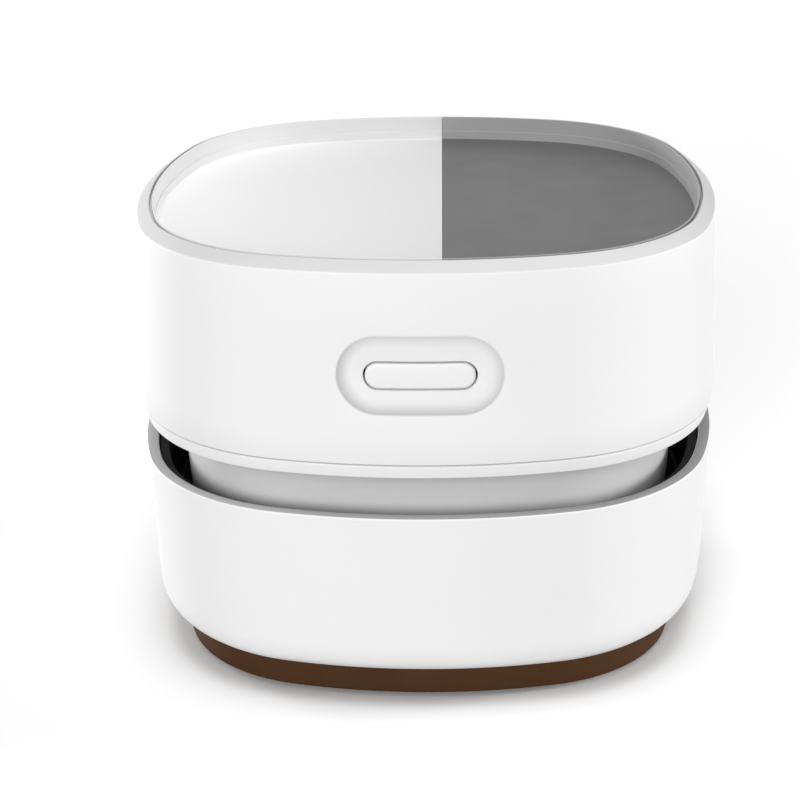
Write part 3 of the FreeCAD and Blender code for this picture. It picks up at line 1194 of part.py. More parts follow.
def make_battery():
    x = "-places.cell_offset"
    floor = "places.seam_level + sizes.cradle_wall"
    middle = floor + " + sizes.cell_clear + sizes.cell_radius"
    start = "-sizes.cell_length / 2"
    can = cylinder("cell_can", "sizes.cell_radius", "sizes.cell_length - sizes.cell_cap_height", x, start,
                   middle, "y")
    cap = cylinder("cell_cap", "sizes.cell_cap_radius", "sizes.cell_cap_height", x,
                   "sizes.cell_length / 2 - sizes.cell_cap_height", middle, "y")
    fuse("battery_cell", [can, cap])
    room = "sizes.cell_length + 2 * sizes.tab_thickness + 4 * sizes.cell_clear"
    block = box("cradle_block", "2 * (sizes.cell_radius + sizes.cell_clear + sizes.cradle_wall)",
                room + " + 2 * sizes.cradle_wall", "sizes.cradle_height", x, "0", "places.seam_level")
    trough = cylinder("cradle_trough", "sizes.cell_radius + sizes.cell_clear", room, x,
                      "-(%s) / 2" % room, middle, "y")
    mouth = box("cradle_mouth", "2 * (sizes.cell_radius + sizes.cell_clear)", room,
                "sizes.cradle_height", x, "0", middle)
    cut("battery_cradle", block, [trough, mouth])
    tabs = []
    for index, side in enumerate((-1, 1)):
        place_y = "%d * (sizes.cell_length / 2 + sizes.cell_clear + sizes.tab_thickness / 2)" % side
        tabs.append(box("tab_%d" % index, "sizes.tab_width", "sizes.tab_thickness", "sizes.cell_radius", x,
                        place_y, middle + " - sizes.cell_radius / 2"))
    group("battery_tabs", tabs)


def board_posts():
    """Position rules of the four screw points of the circuit board."""
    rows = ("sizes.board_near + sizes.board_hole_inset", "places.board_far - sizes.board_hole_setback")
    return [("%s(sizes.board_width / 2 - sizes.board_hole_inset)" % side, row)
            for side in ("", "-") for row in rows]


def make_board():
    middle = "(sizes.board_near + places.board_far) / 2"
    block = box("board_block", "sizes.board_width", "places.board_far - sizes.board_near",
                "sizes.board_thickness", "0", middle, "places.board_level")
    holes = [cylinder("board_hole_%d" % index, "sizes.board_hole_radius", "sizes.board_thickness", x, y,
                      "places.board_level") for index, (x, y) in enumerate(board_posts())]
    cut("circuit_board", block, holes)
    row = "sizes.board_near + sizes.chip_place"
    source_y = "places.board_far - sizes.light_run - sizes.source_gap - sizes.source_size / 2"
    chips = [
        box("charge_chip", "sizes.chip_length", "sizes.chip_width", "sizes.chip_height",
            "-sizes.chip_length", row, "places.socket_level"),
        box("drive_chip", "sizes.driver_side", "sizes.driver_side", "sizes.driver_height",
            "sizes.chip_length", "sizes.board_near + sizes.chip_width", "places.socket_level"),
        box("board_coil", "sizes.chip_width", "sizes.chip_width", "sizes.coil_height",
            "sizes.chip_length + sizes.chip_height", row + " + sizes.driver_side", "places.socket_level"),
        cylinder("capacitor", "sizes.capacitor_radius", "sizes.capacitor_height", "-sizes.capacitor_place",
                 row + " + sizes.capacitor_radius", "places.socket_level"),
        box("light_source", "sizes.source_size", "sizes.source_size", "sizes.source_height",
            "sizes.light_offset", source_y, "places.socket_level")]
    group("board_parts", chips)

    front = "(places.port_half_width - sizes.housing_wall - sizes.socket_setback)"
    shell = pill_block("socket_shell", "sizes.socket_width", "sizes.socket_height",
                       "(sizes.socket_depth - %s)" % front, "places.port_level", "sizes.socket_depth")
    room = pill_block("socket_room", "sizes.socket_width - 2 * sizes.socket_wall",
                      "sizes.socket_height - 2 * sizes.socket_wall",
                      "(sizes.socket_depth - sizes.socket_wall - %s)" % front, "places.port_level",
                      "sizes.socket_depth")
    tongue = box("socket_tongue_block", "sizes.tongue_width", "sizes.tongue_length", "sizes.socket_tongue",
                 "0", "%s - sizes.socket_depth + (sizes.socket_wall + sizes.tongue_length) / 2" % front,
                 "places.port_level - sizes.socket_tongue / 2")
    fuse("usb_socket", [cut("socket_case", shell, [room]), tongue])
    light_back = "places.board_far - sizes.light_run"
    stem = cylinder("light_stem", "sizes.light_radius",
                    "places.port_half_width - sizes.light_inset - (%s)" % light_back,
                    "sizes.light_offset", light_back, "places.port_level", "y")
    common("light_pipe", stem, drafted("light_trim", "sizes.seam_half_width", "places.seam_level",
                                       "places.top_half_width", "places.chamfer_level"))


# Button, plunger and switch

def make_button():
    front = "(places.dish_front + sizes.button_proud)"
    cap = pill_block("button_cap", "sizes.button_length", "sizes.button_height", front,
                     "sizes.button_level", front + " - places.collar_front")
    doc.recompute()
    rounded = doc.addObject("Part::Fillet", "button_rounded")
    rounded.Base = cap
    radius = value("sizes.button_round")
    rounds = []
    for number, edge in enumerate(cap.Shape.Edges, start=1):
        if edge.BoundBox.YMax < -value(front) + 0.01:
            rounds.append((number, radius, radius))
    rounded.Edges = rounds
    grown = "2 * sizes.collar_wall + 2 * sizes.button_clear"
    collar = pill_block("button_collar", "sizes.button_length + " + grown,
                        "sizes.button_height + " + grown, "(places.collar_front)",
                        "sizes.button_level", "sizes.collar_height")
    fuse("power_button", [rounded, collar])
    cylinder("switch_plunger", "sizes.plunger_radius",
             "places.collar_back - places.switch_front + sizes.plunger_entry", "0",
             "-places.collar_back", "sizes.button_level", "y")

    case = box("switch_case", "sizes.switch_size", "sizes.switch_depth", "sizes.switch_size", "0",
               "-(places.switch_front + places.switch_back) / 2",
               "sizes.button_level - sizes.switch_size / 2")
    well = cylinder("switch_well", "sizes.plunger_radius + sizes.fit_clear",
                    "sizes.plunger_entry + sizes.button_travel + sizes.plunger_room", "0",
                    "-places.switch_front", "sizes.button_level", "y")
    cut("switch_body", case, [well])
    box("switch_board", "sizes.switch_board_width", "sizes.board_thickness", "sizes.switch_board_height",
        "0", "-(places.switch_back - sizes.board_thickness / 2)", "places.seam_level + sizes.slot_floor")


NODES = [
    "lower_shell", "base_plate", "dust_cup", "inlet_chimney", "bristle_tufts", "glide_feet",
    "base_screws", "upper_housing", "tray_left", "tray_right", "lower_housing", "case_screws",
    "fan_cover", "filter_frame", "filter_media", "filter_seal", "impeller", "motor_can",
    "motor_end_cap", "motor_bushes", "motor_magnets", "motor_brushes", "motor_terminals",
    "motor_screws", "motor_cushion", "motor_shaft", "armature_core", "armature_coils", "commutator",
    "battery_cell", "battery_cradle", "battery_tabs", "circuit_board", "board_parts", "usb_socket",
    "light_pipe", "power_button", "switch_plunger", "switch_body", "switch_board",
]


def check_and_write():
    """Stop on any failed feature or bad shape, and otherwise write one file for each node."""
    doc.recompute()
    for item in doc.Objects:
        if "Invalid" in item.State or "Error" in item.State:
            raise SystemExit("failed feature: %s %s" % (item.Name, item.State))
    os.makedirs("parts", exist_ok=True)
    for name in NODES:
        item = doc.getObject(name)
        item.Label = name
        if item.Shape.isNull() or not item.Shape.isValid():
            raise SystemExit("bad shape: " + name)
        solids = item.Shape.Solids
        print("%-16s %2d solid(s) %10.1f mm3" % (name, len(solids), item.Shape.Volume))
        item.Shape.exportStep("parts/%s.step" % name)


make_base()
make_dust_box()
make_upper_housing()
make_tray()
make_lower_housing()
make_filter()
make_impeller()
make_motor()
make_rotor()
make_battery()
make_board()
make_button()
check_and_write()
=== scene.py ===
import json
import math
import random

import bmesh
import bpy
from mathutils import Matrix, Vector


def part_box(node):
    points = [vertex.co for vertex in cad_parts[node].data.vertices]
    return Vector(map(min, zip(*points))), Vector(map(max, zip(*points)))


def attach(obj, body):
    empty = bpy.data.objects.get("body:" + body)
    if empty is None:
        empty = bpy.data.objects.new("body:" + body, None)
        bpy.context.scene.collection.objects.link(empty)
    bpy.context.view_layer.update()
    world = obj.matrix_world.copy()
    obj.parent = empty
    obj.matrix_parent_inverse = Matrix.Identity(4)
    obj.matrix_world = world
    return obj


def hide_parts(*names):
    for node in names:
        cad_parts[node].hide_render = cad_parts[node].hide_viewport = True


# Looks of the desktop mini vacuum cleaner, built around its construction model.
# Lengths below are in millimetres and are turned into metres where a mesh is made.

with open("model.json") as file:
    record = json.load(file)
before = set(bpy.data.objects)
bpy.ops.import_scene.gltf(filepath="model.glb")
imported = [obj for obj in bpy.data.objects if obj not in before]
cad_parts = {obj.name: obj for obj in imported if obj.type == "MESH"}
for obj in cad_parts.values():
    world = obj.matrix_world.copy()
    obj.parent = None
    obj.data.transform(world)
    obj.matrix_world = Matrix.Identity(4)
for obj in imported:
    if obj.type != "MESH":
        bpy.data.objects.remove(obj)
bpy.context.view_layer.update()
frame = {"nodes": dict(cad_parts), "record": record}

MM = 0.001
record = frame["record"]
nodes = frame["nodes"]


def levels(node):
    """Lowest and highest level of a construction piece, in millimetres."""
    low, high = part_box(node)
    return low.z / MM, high.z / MM


# Camera, fitted to the photograph's rim, seam and base outlines
LOOK_AT = Vector((0.0, 0.0, 32.6))
CAMERA_AZIMUTH = 1.562
CAMERA_ELEVATION = 21.337
CAMERA_ROLL = 0.632
CAMERA_DISTANCE = 315.194
PIXELS_PER_MM = 6.156
MIDDLE_X, MIDDLE_Y = 429.1, 396.999
PICTURE = 800
SENSOR = 36.0

# Plan outline shared by every shell: side arcs and corner arcs about fixed centres
FLANK_BULGE = 41.0
CORNER_INSET = 16.0
ARC_REACH = FLANK_BULGE + CORNER_INSET
CORNER = (math.sqrt(2 * ARC_REACH ** 2 - FLANK_BULGE ** 2) - FLANK_BULGE) / 2
SWEEP = math.atan2(CORNER, CORNER + FLANK_BULGE)
SIDE_STEPS = 20
CORNER_STEPS = 36

# Half widths of the shells
SEAM_WIDTH = 45.27
TOP_WIDTH = 44.3
CHAMFER_WIDTH = 1.96
CHAMFER_HEIGHT = 1.4
HOUSING_WALL = 1.6
LEDGE_REACH = 2.8
LEDGE_THICKNESS = 1.5
LIP_WIDTH = 44.65
NECK_WIDTH = 39.3
NECK_FOOT_WIDTH = 38.1
NECK_WALL = 1.2
NECK_ROUND = 0.8
COVER_SEAT = 0.6
RIM_WIDTH = 45.05
SHELL_FOOT_WIDTH = 43.97
SHELL_ROUND = 5.7
SHELL_WALL = 1.8
TRAY_CLEAR = 0.25
TRAY_WALL = 0.6
TRAY_STEP = 0.2
TRAY_STEP_DEPTH = 2.2
TRAY_FLOOR = 1.4
TRAY_DROP = 0.3
TRAY_FIT = 0.03
TRAY_LINE = 0.4
TRAY_SHOWN = 0.03
TRAY_BLEND = 0.15
TRAY_SPLIT = 2.4
TRAY_SPLIT_TURN = 1.0
TRAY_SPLIT_GAP = 0.06
SEAM_GAP = 0.15
SEAM_SHOWN = 0.16
# Painted shade on the chamfered ring, deeper at the sides
RING_BLEND = 0.15
RING_PAINTED_SHADE = 0.45
RING_TURN = 0.6
# Painted shadow of the head on the rim's top face, deeper on its right side
RIM_PAINTED_SHADOW = 0.85
RIM_TURN = 0.3
RIM_EDGE = 0.04
TRAY_GROOVE = 0.7
# Painted shade on the white tray's floor towards the split
TRAY_MIDDLE_PAINTED_SHADE = 0.9
# Painted shadow of the lip on the neck, fading downwards over a depth
NECK_PAINTED_SHADOW = 1.0
NECK_PAINTED_SHADOW_DEPTH = 6.0
NECK_STEPS = 8
LIP_HEIGHT = 2.1

# Button and its dish, charging port and charge light
BUTTON_LEVEL = 53.1
DISH = (23.25, 11.45)
DISH_DEPTH = 0.85
DISH_ROUND = 2.55
DISH_EDGE = 0.35
HOLE_EDGE = 0.12
PORT_EDGE = 0.25
# Painted shade on the dish's wall, deepest on its lower side
DISH_PAINTED_SHADE = 0.8
PAINTED_SHADE_TURN = 0.68
GUIDE_WALL = 1.8
GUIDE_DEPTH = 2.9
BUTTON = (15.35, 3.65)
BUTTON_CLEAR = 0.27
BUTTON_DROP = 0.28
BUTTON_PROUD = 0.25
BUTTON_ROUND = 0.4
BUTTON_DEPTH = 2.4
BUTTON_CROWN = 0.05
PORT = (9.7, 4.0)
PORT_RISE = 7.05
LIGHT_HOLE = 2.2
LIGHT_OFFSET = 9.5

# Exhaust slots in the neck
SLOT_WIDTH = 2.0
SLOT_HEIGHT = 6.0
SLOT_PITCH = 4.0
SLOT_SILL = 1.6
SLOT_OVERRUN = 3.0
REAR_SLOTS = range(-4, 5)
SIDE_SLOTS = range(1, 4)
SIDE_SHIFT = 0.25

# Bristle rows under the base: radius of the row and its number of tufts
TUFT_ROWS = ((21.0, 22), (12.6, 12))
TUFT_TURN = 8.0
TUFT_RADIUS = 0.9
TUFT_SEAT = 1.5
FILAMENTS = 40
FILAMENT_RADIUS = 0.07
FILAMENT_SPLAY = 0.35

# Hole through each flat plate, and the width where its rings begin to turn round
DECK_RING = 22.0
DECK_HOLE = 3.4
SHELL_RING = 24.0
MOUTH = 8.8
TRAY_RING = 22.0

# Windows in the upper housing's mesh: half width and half height round each opening
DISH_WINDOW = (14.2, 8.4)
PORT_WINDOW = (6.6, 3.0)
LIGHT_WINDOW = 1.9
DISH_ROWS = 26
PORT_ROWS = 12
FOOT_EDGE = 0.2

# Roughness of the painted shade tone, floor and light
MATT = 0.85
FLOOR_RADIUS = 6.0
FLOOR_SEEN = 0.94
FLOOR_PALE = 0.62
WORLD_LIGHT = 0.28

SHELL_LEVEL, RIM_LEVEL = levels("lower_shell")
SEAM_BOTTOM, TOP_LEVEL = levels("upper_housing")
SEAM_LEVEL = SEAM_BOTTOM - SEAM_GAP
LIP_LEVEL = SEAM_LEVEL - LIP_HEIGHT
NECK_LEVEL = levels("lower_housing")[0]
CHAMFER_LEVEL = TOP_LEVEL - CHAMFER_HEIGHT
LEDGE_LEVEL, TRAY_TOP = levels("tray_left")
PORT_LEVEL = SEAM_LEVEL + PORT_RISE
COVER_TOP = levels("fan_cover")[1]


# Meshes

def pillar_columns():
    """Angle of each upright line of the shells, as (quarter, on a side arc, angle)."""
    columns = []
    for quarter in range(4):
        for step in range(SIDE_STEPS * SIDE_DENSITY[quarter]):
            share = step / (SIDE_STEPS * SIDE_DENSITY[quarter])
            columns.append((quarter, True, SWEEP * (2 * share - 1)))
        for step in range(CORNER_STEPS):
            columns.append((quarter, False, SWEEP + (math.pi / 2 - 2 * SWEEP) * step / CORNER_STEPS))
    return columns


SIDE_DENSITY = {0: 1, 1: 3, 2: 1, 3: 3}
COLUMNS = pillar_columns()


def outline(half_width, level):
    """Points of the plan outline at a half width, one for each column."""
    points = []
    for quarter, on_side, angle in COLUMNS:
        if on_side:
            reach, x, y = half_width + FLANK_BULGE, -FLANK_BULGE, 0.0
        else:
            reach, x, y = half_width - CORNER_INSET, CORNER, CORNER
        x += reach * math.cos(angle)
        y += reach * math.sin(angle)
        turn = Matrix.Rotation(quarter * math.pi / 2, 2)
        spot = turn @ Vector((x, y))
        points.append(Vector((spot.x, spot.y, level)))
    return points


def circle(radius, level):
    """A round edge with one point for each column, in the direction of the outline's point."""
    return [Vector((p.x, p.y, 0)).normalized() * radius + Vector((0, 0, level))
            for p in outline(SEAM_WIDTH, 0)]


def softened(corners, radii, steps=4):
    """A closed profile whose corners are rounded, as (half width, level) pairs."""
    points = []
    count = len(corners)
    for index, radius in enumerate(radii):
        corner = Vector(corners[index])
        if radius == 0:
            points.append(tuple(corner))
            continue
        before = (Vector(corners[index - 1]) - corner).normalized()
        after = (Vector(corners[(index + 1) % count]) - corner).normalized()
        half = before.angle(after) / 2
        reach = radius / math.tan(half)
        centre = corner + (before + after).normalized() * radius / math.sin(half)
        first = corner + before * reach - centre
        last = corner + after * reach - centre
        for step in range(steps + 1):
            share = step / steps
            spoke = first.lerp(last, share).normalized() * radius
            points.append(tuple(centre + spoke))
    return points


def swept(rings, closed=True, gaps=()):
    """A skin through rings of points. gaps are the (ring, column) cells left open."""
    mesh = bmesh.new()
    mesh.verts.layers.float.new("shade")
    rows = [[mesh.verts.new(point) for point in ring] for ring in rings]
    count = len(rows)
    for index in range(count if closed else count - 1):
        low, high = rows[index], rows[(index + 1) % count]
        for column in range(len(low)):
            if (index, column) in gaps:
                continue
            after = (column + 1) % len(low)
            mesh.faces.new((low[column], low[after], high[after], high[column]))
    return mesh, rows


def painted_shade_where(mesh, rule):
    """Gives each point the share of painted shade, the material's second tone, that the rule says."""
    layer = mesh.verts.layers.float["shade"]
    for vert in mesh.verts:
        vert[layer] = max(vert[layer], rule(vert.co))


def plain_object(mesh, name):
    """Turns a bmesh in millimetres into an object in metres."""
    bmesh.ops.recalc_face_normals(mesh, faces=mesh.faces)
    bmesh.ops.scale(mesh, vec=(MM, MM, MM), verts=mesh.verts)
    data = bpy.data.meshes.new(name)
    mesh.to_mesh(data)
    mesh.free()
    item = bpy.data.objects.new(name, data)
    bpy.context.scene.collection.objects.link(item)
    return item


def carved(piece, cutter):
    """Cuts one object out of another and deletes the cutter."""
    modifier = piece.modifiers.new("cut", "BOOLEAN")
    modifier.object = cutter
    modifier.solver = "EXACT"
    seen = piece.evaluated_get(bpy.context.evaluated_depsgraph_get())
    uncut = piece.data
    piece.data = bpy.data.meshes.new_from_object(seen)
    piece.data.name = uncut.name
    piece.modifiers.clear()
    bpy.data.meshes.remove(uncut)
    bpy.data.objects.remove(cutter)


def finished(mesh, name, body, slot, angle=35, replaces=(), cutter=None, rule=None):
    """Turns a bmesh in millimetres into a smooth-shaded piece that rides on a body."""
    piece = plain_object(mesh, name)
    if cutter:
        carved(piece, cutter)
    data = piece.data
    # The rule paints shade into each point's shade attribute.
    if rule:
        layer = data.attributes.get("shade") or data.attributes.new("shade", "FLOAT", "POINT")
        for vert in data.vertices:
            layer.data[vert.index].value = rule(vert.co / MM)
    smooth(data, angle)
    data.materials.clear()
    data.materials.append(materials[slot])
    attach(piece, body)
    if replaces:
        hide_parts(*replaces)
    return piece


def smooth(data, angle):
    """Smooth shading that keeps edges sharper than the angle, in degrees."""
    data.shade_smooth()
    data.set_sharp_from_angle(angle=math.radians(angle))


# Materials

def new_material(name):
    material = bpy.data.materials.new(name)
    material.use_nodes = True
    nodes_of = material.node_tree.nodes
    return material, nodes_of, material.node_tree.links, nodes_of["Principled BSDF"]


def noise(tree_nodes, links, scale, detail=3.0, rough=0.5):
    """Noise over the object's own coordinates, scale in features per metre."""
    coords = tree_nodes.new("ShaderNodeTexCoord")
    texture = tree_nodes.new("ShaderNodeTexNoise")
    texture.inputs["Scale"].default_value = scale
    texture.inputs["Detail"].default_value = detail
    texture.inputs["Roughness"].default_value = rough
    links.new(coords.outputs["Object"], texture.inputs["Vector"])
    return texture.outputs["Fac"]


def spread(tree_nodes, links, source, low, high, start=0.3, end=0.7):
    """Maps noise onto a range of numbers."""
    node = tree_nodes.new("ShaderNodeMapRange")
    node.inputs["From Min"].default_value = start
    node.inputs["From Max"].default_value = end
    node.inputs["To Min"].default_value = low
    node.inputs["To Max"].default_value = high
    links.new(source, node.inputs["Value"])
    return node.outputs["Result"]


def tinted(tree_nodes, links, source, first, second):
    """Mixes two colours by noise."""
    ramp = tree_nodes.new("ShaderNodeValToRGB")
    ramp.color_ramp.elements[0].position = 0.35
    ramp.color_ramp.elements[1].position = 0.65
    ramp.color_ramp.elements[0].color = (*first, 1)
    ramp.color_ramp.elements[1].color = (*second, 1)
    links.new(source, ramp.inputs["Fac"])
    return ramp.outputs["Color"]


def painted_shade_toned(tree_nodes, links, tint, rough, second):
    """Turns colour and roughness towards a second, matt tone where the mesh's points say so: painted shade,
    or painted light where the second colour is lighter.

    Sockets 6, 7 and 2 of the Mix node are its colours, and 2 and 3 are the numbers.
    """
    share = tree_nodes.new("ShaderNodeAttribute")
    share.attribute_name = "shade"
    mix = tree_nodes.new("ShaderNodeMix")
    mix.data_type = "RGBA"
    links.new(share.outputs["Fac"], mix.inputs["Factor"])
    links.new(tint, mix.inputs[6])
    mix.inputs[7].default_value = (*second, 1)
    blend = tree_nodes.new("ShaderNodeMix")
    links.new(share.outputs["Fac"], blend.inputs["Factor"])
    links.new(rough, blend.inputs[2])
    blend.inputs[3].default_value = MATT
    return mix.outputs[2], blend.outputs[0]


def moulded(name, colour, roughness, grain, depth, vary=0.03, metallic=0.0, second=None,
            gloss=0.5):
    """Moulded plastic or plain metal: even colour with slight mottling and a fine surface grain. A second
    colour is painted shade, mixed in where the mesh's points say so.
    """
    material, tree_nodes, links, shader = new_material(name)
    lighter = [min(1.0, c * (1 + vary)) for c in colour]
    darker = [c * (1 - vary) for c in colour]
    tint = tinted(tree_nodes, links, noise(tree_nodes, links, 60), darker, lighter)
    rough = spread(tree_nodes, links, noise(tree_nodes, links, 140), roughness * 0.92,
                   roughness * 1.08)
    if second:
        tint, rough = painted_shade_toned(tree_nodes, links, tint, rough, second)
    links.new(tint, shader.inputs["Base Color"])
    links.new(rough, shader.inputs["Roughness"])
    shader.inputs["Metallic"].default_value = metallic
    shader.inputs["Specular IOR Level"].default_value = gloss
    bump = tree_nodes.new("ShaderNodeBump")
    bump.inputs["Strength"].default_value = depth
    bump.inputs["Distance"].default_value = 0.00005
    links.new(noise(tree_nodes, links, grain, 2.0), bump.inputs["Height"])
    links.new(bump.outputs["Normal"], shader.inputs["Normal"])
    return material


def grey(level):
    return (level, level, level)


# Each second colour is painted shade; on tray_grey it is lighter and paints light on the tray's walls.
materials = {
    "white_shell": moulded("white_shell", grey(0.84), 0.4, 2600, 0.12, 0.004,
                           second=grey(0.36), gloss=0.35),
    "tray_white": moulded("tray_white", grey(0.89), 0.5, 2200, 0.15, 0.006,
                          second=grey(0.68), gloss=0.2),
    "tray_grey": moulded("tray_grey", grey(0.118), 0.5, 2200, 0.2, 0.02,
                         second=grey(0.34), gloss=0.2),
    "base_brown": moulded("base_brown", (0.066, 0.028, 0.0105), 0.8, 3000, 0.5, 0.05, gloss=0.15),
    "black_plastic": moulded("black_plastic", (0.01, 0.01, 0.011), 0.7, 2500, 0.3, 0.08, gloss=0.15),
    "bristle": moulded("bristle", (0.05, 0.03, 0.018), 0.45, 9000, 0.2, 0.3),
    "rubber": moulded("rubber", (0.028, 0.028, 0.028), 0.75, 4000, 0.6, 0.1, gloss=0.3),
    "steel": moulded("steel", (0.55, 0.55, 0.56), 0.32, 1500, 0.2, 0.04, metallic=1.0),
    "magnet": moulded("magnet", (0.06, 0.06, 0.065), 0.6, 3000, 0.5, 0.1),
    "copper": moulded("copper", (0.72, 0.3, 0.14), 0.3, 5000, 0.8, 0.1, metallic=1.0),
    "bronze": moulded("bronze", (0.5, 0.34, 0.16), 0.45, 4000, 0.5, 0.08, metallic=1.0),
    "fan_white": moulded("fan_white", (0.74, 0.74, 0.72), 0.5, 2400, 0.25, 0.01),
    "filter_paper": moulded("filter_paper", (0.8, 0.8, 0.76), 0.9, 5000, 1.0, 0.03, gloss=0.1),
    "cell_wrap": moulded("cell_wrap", (0.03, 0.16, 0.28), 0.3, 1200, 0.3, 0.05),
    "board_green": moulded("board_green", (0.02, 0.13, 0.06), 0.4, 2600, 0.3, 0.12),
    "clear": moulded("clear", (0.8, 0.82, 0.84), 0.2, 1500, 0.1, 0.01),
}

slots = {row["node"]: row["material_slot"] for row in record["subparts"]}
for name, item in nodes.items():
    item.data.materials.clear()
    item.data.materials.append(materials[slots[name]])


# Upper housing with the button dish, the charging port and the light hole

def wall_y(x, width):
    """Distance of the outer face from the middle at sideways place x, on the front or back flank."""
    return math.sqrt((width + FLANK_BULGE) ** 2 - x ** 2) - FLANK_BULGE


def housing_width(level):
    """Outer half width of the upper housing at a level."""
    share = (level - SEAM_LEVEL) / (CHAMFER_LEVEL - SEAM_LEVEL)
    return SEAM_WIDTH + (TOP_WIDTH - SEAM_WIDTH) * share


def loop_of(rows, first, last, columns):
    """Vertices round a rectangle of cells, in order."""
    loop = [rows[first][column] for column in columns]
    loop += [rows[index][columns[-1]] for index in range(first + 1, last + 1)]
    loop += [rows[last][column] for column in reversed(columns[:-1])]
    loop += [rows[index][columns[0]] for index in range(last - 1, first, -1)]
    return loop


def pill_hole(mesh, outer, inner, side, middle, level, rings):
    """Joins two loops of a wall through pill-shaped rings, each (length, height, depth, shade, drop), where
    shade is the share of painted shade.
    """
    layer = mesh.verts.layers.float["shade"]
    length, height = rings[0][:2]
    straight = (length - height) / 2
    rows = [outer]
    for length, height, depth, shade, drop in rings:
        half = (length - height) / 2
        row = []
        for vert in outer:
            x, z = vert.co.x - middle, vert.co.z - level
            along = max(-straight, min(straight, x))
            spoke = Vector((x - along, z)).normalized() * height / 2
            at = along * (half / straight if straight else 0)
            place_x, place_z = middle + at + spoke.x, level - drop + spoke.y
            place_y = side * (wall_y(place_x, housing_width(place_z)) - depth)
            vert = mesh.verts.new((place_x, place_y, place_z))
            # Painted shade: full on the pill's lower wall, less towards its top.
            vert[layer] = shade * (1 - PAINTED_SHADE_TURN * (1 + 2 * spoke.y / height) / 2)
            row.append(vert)
        rows.append(row)
    rows.append(inner)
    for low, high in zip(rows, rows[1:]):
        for index in range(len(low)):
            after = (index + 1) % len(low)
            mesh.faces.new((low[index], low[after], high[after], high[index]))


def flank_columns(quarter, low, high):
    """Indices of the columns of a flank between two sideways places."""
    found = []
    for index, (where, on_side, angle) in enumerate(COLUMNS):
        if where == quarter and on_side:
            x = (SEAM_WIDTH + FLANK_BULGE) * math.sin(angle)
            x = x if quarter == 3 else -x
            if low <= x <= high:
                found.append(index)
    return found


def dish_rings():
    """Rings of the button dish: soft outer edge, concave wall with painted shade, floor, hole edge and
    guide.
    """
    length, height = DISH
    slope = math.acos(1 - DISH_DEPTH / DISH_ROUND)
    reach = DISH_ROUND * math.sin(slope)
    rings = []
    for step in range(5):
        angle = slope * step / 4
        out = DISH_EDGE * (math.tan(slope / 2) - math.sin(angle))
        rings.append((length + 2 * out, height + 2 * out, DISH_EDGE * (1 - math.cos(angle)),
                      DISH_PAINTED_SHADE * step / 4, 0.0))
    start = math.acos(1 - (DISH_DEPTH - rings[-1][2]) / DISH_ROUND)
    for step in range(1, 15):
        angle = start * (1 - step / 14)
        inward = reach - DISH_ROUND * math.sin(angle)
        depth = DISH_DEPTH - DISH_ROUND * (1 - math.cos(angle))
        rings.append((length - 2 * inward, height - 2 * inward, depth,
                      DISH_PAINTED_SHADE * (1 - step / 14), 0.0))
    hole = (BUTTON[0] + 2 * BUTTON_CLEAR, BUTTON[1] + 2 * BUTTON_CLEAR)
    for step in range(4):
        share = step / 3 * math.pi / 2
        out = HOLE_EDGE * (1 - math.sin(share))
        rings.append((hole[0] + 2 * out, hole[1] + 2 * out,
                      DISH_DEPTH + HOLE_EDGE * (1 - math.cos(share)), 0.0, BUTTON_DROP))
    back = DISH_DEPTH + GUIDE_DEPTH
    guide = (length + 2 * GUIDE_WALL, height + 2 * GUIDE_WALL)
    rings += [(*hole, back, 0.0, BUTTON_DROP), (*guide, back, 0.0, 0.0)]
    rings.append((*guide, HOUSING_WALL, 0.0, 0.0))
    return rings


def port_rings(size):
    """Rings of a plain hole with a soft edge."""
    rings = []
    for step in range(4):
        share = step / 3 * math.pi / 2
        out = PORT_EDGE * (1 - math.sin(share))
        depth = PORT_EDGE * (1 - math.cos(share))
        rings.append((size[0] + 2 * out, size[1] + 2 * out, depth, 0.0, 0.0))
    rings.append((size[0], size[1], HOUSING_WALL, 0.0, 0.0))
    return rings


def ring_painted_shade(spot):
    """Painted shade on the chamfered ring, deeper at the sides."""
    share = min(1.0, max(0.0, (spot.z - CHAMFER_LEVEL) / RING_BLEND + 0.7))
    return RING_PAINTED_SHADE * share * (1 + RING_TURN * (spot.x / TOP_WIDTH) ** 4)


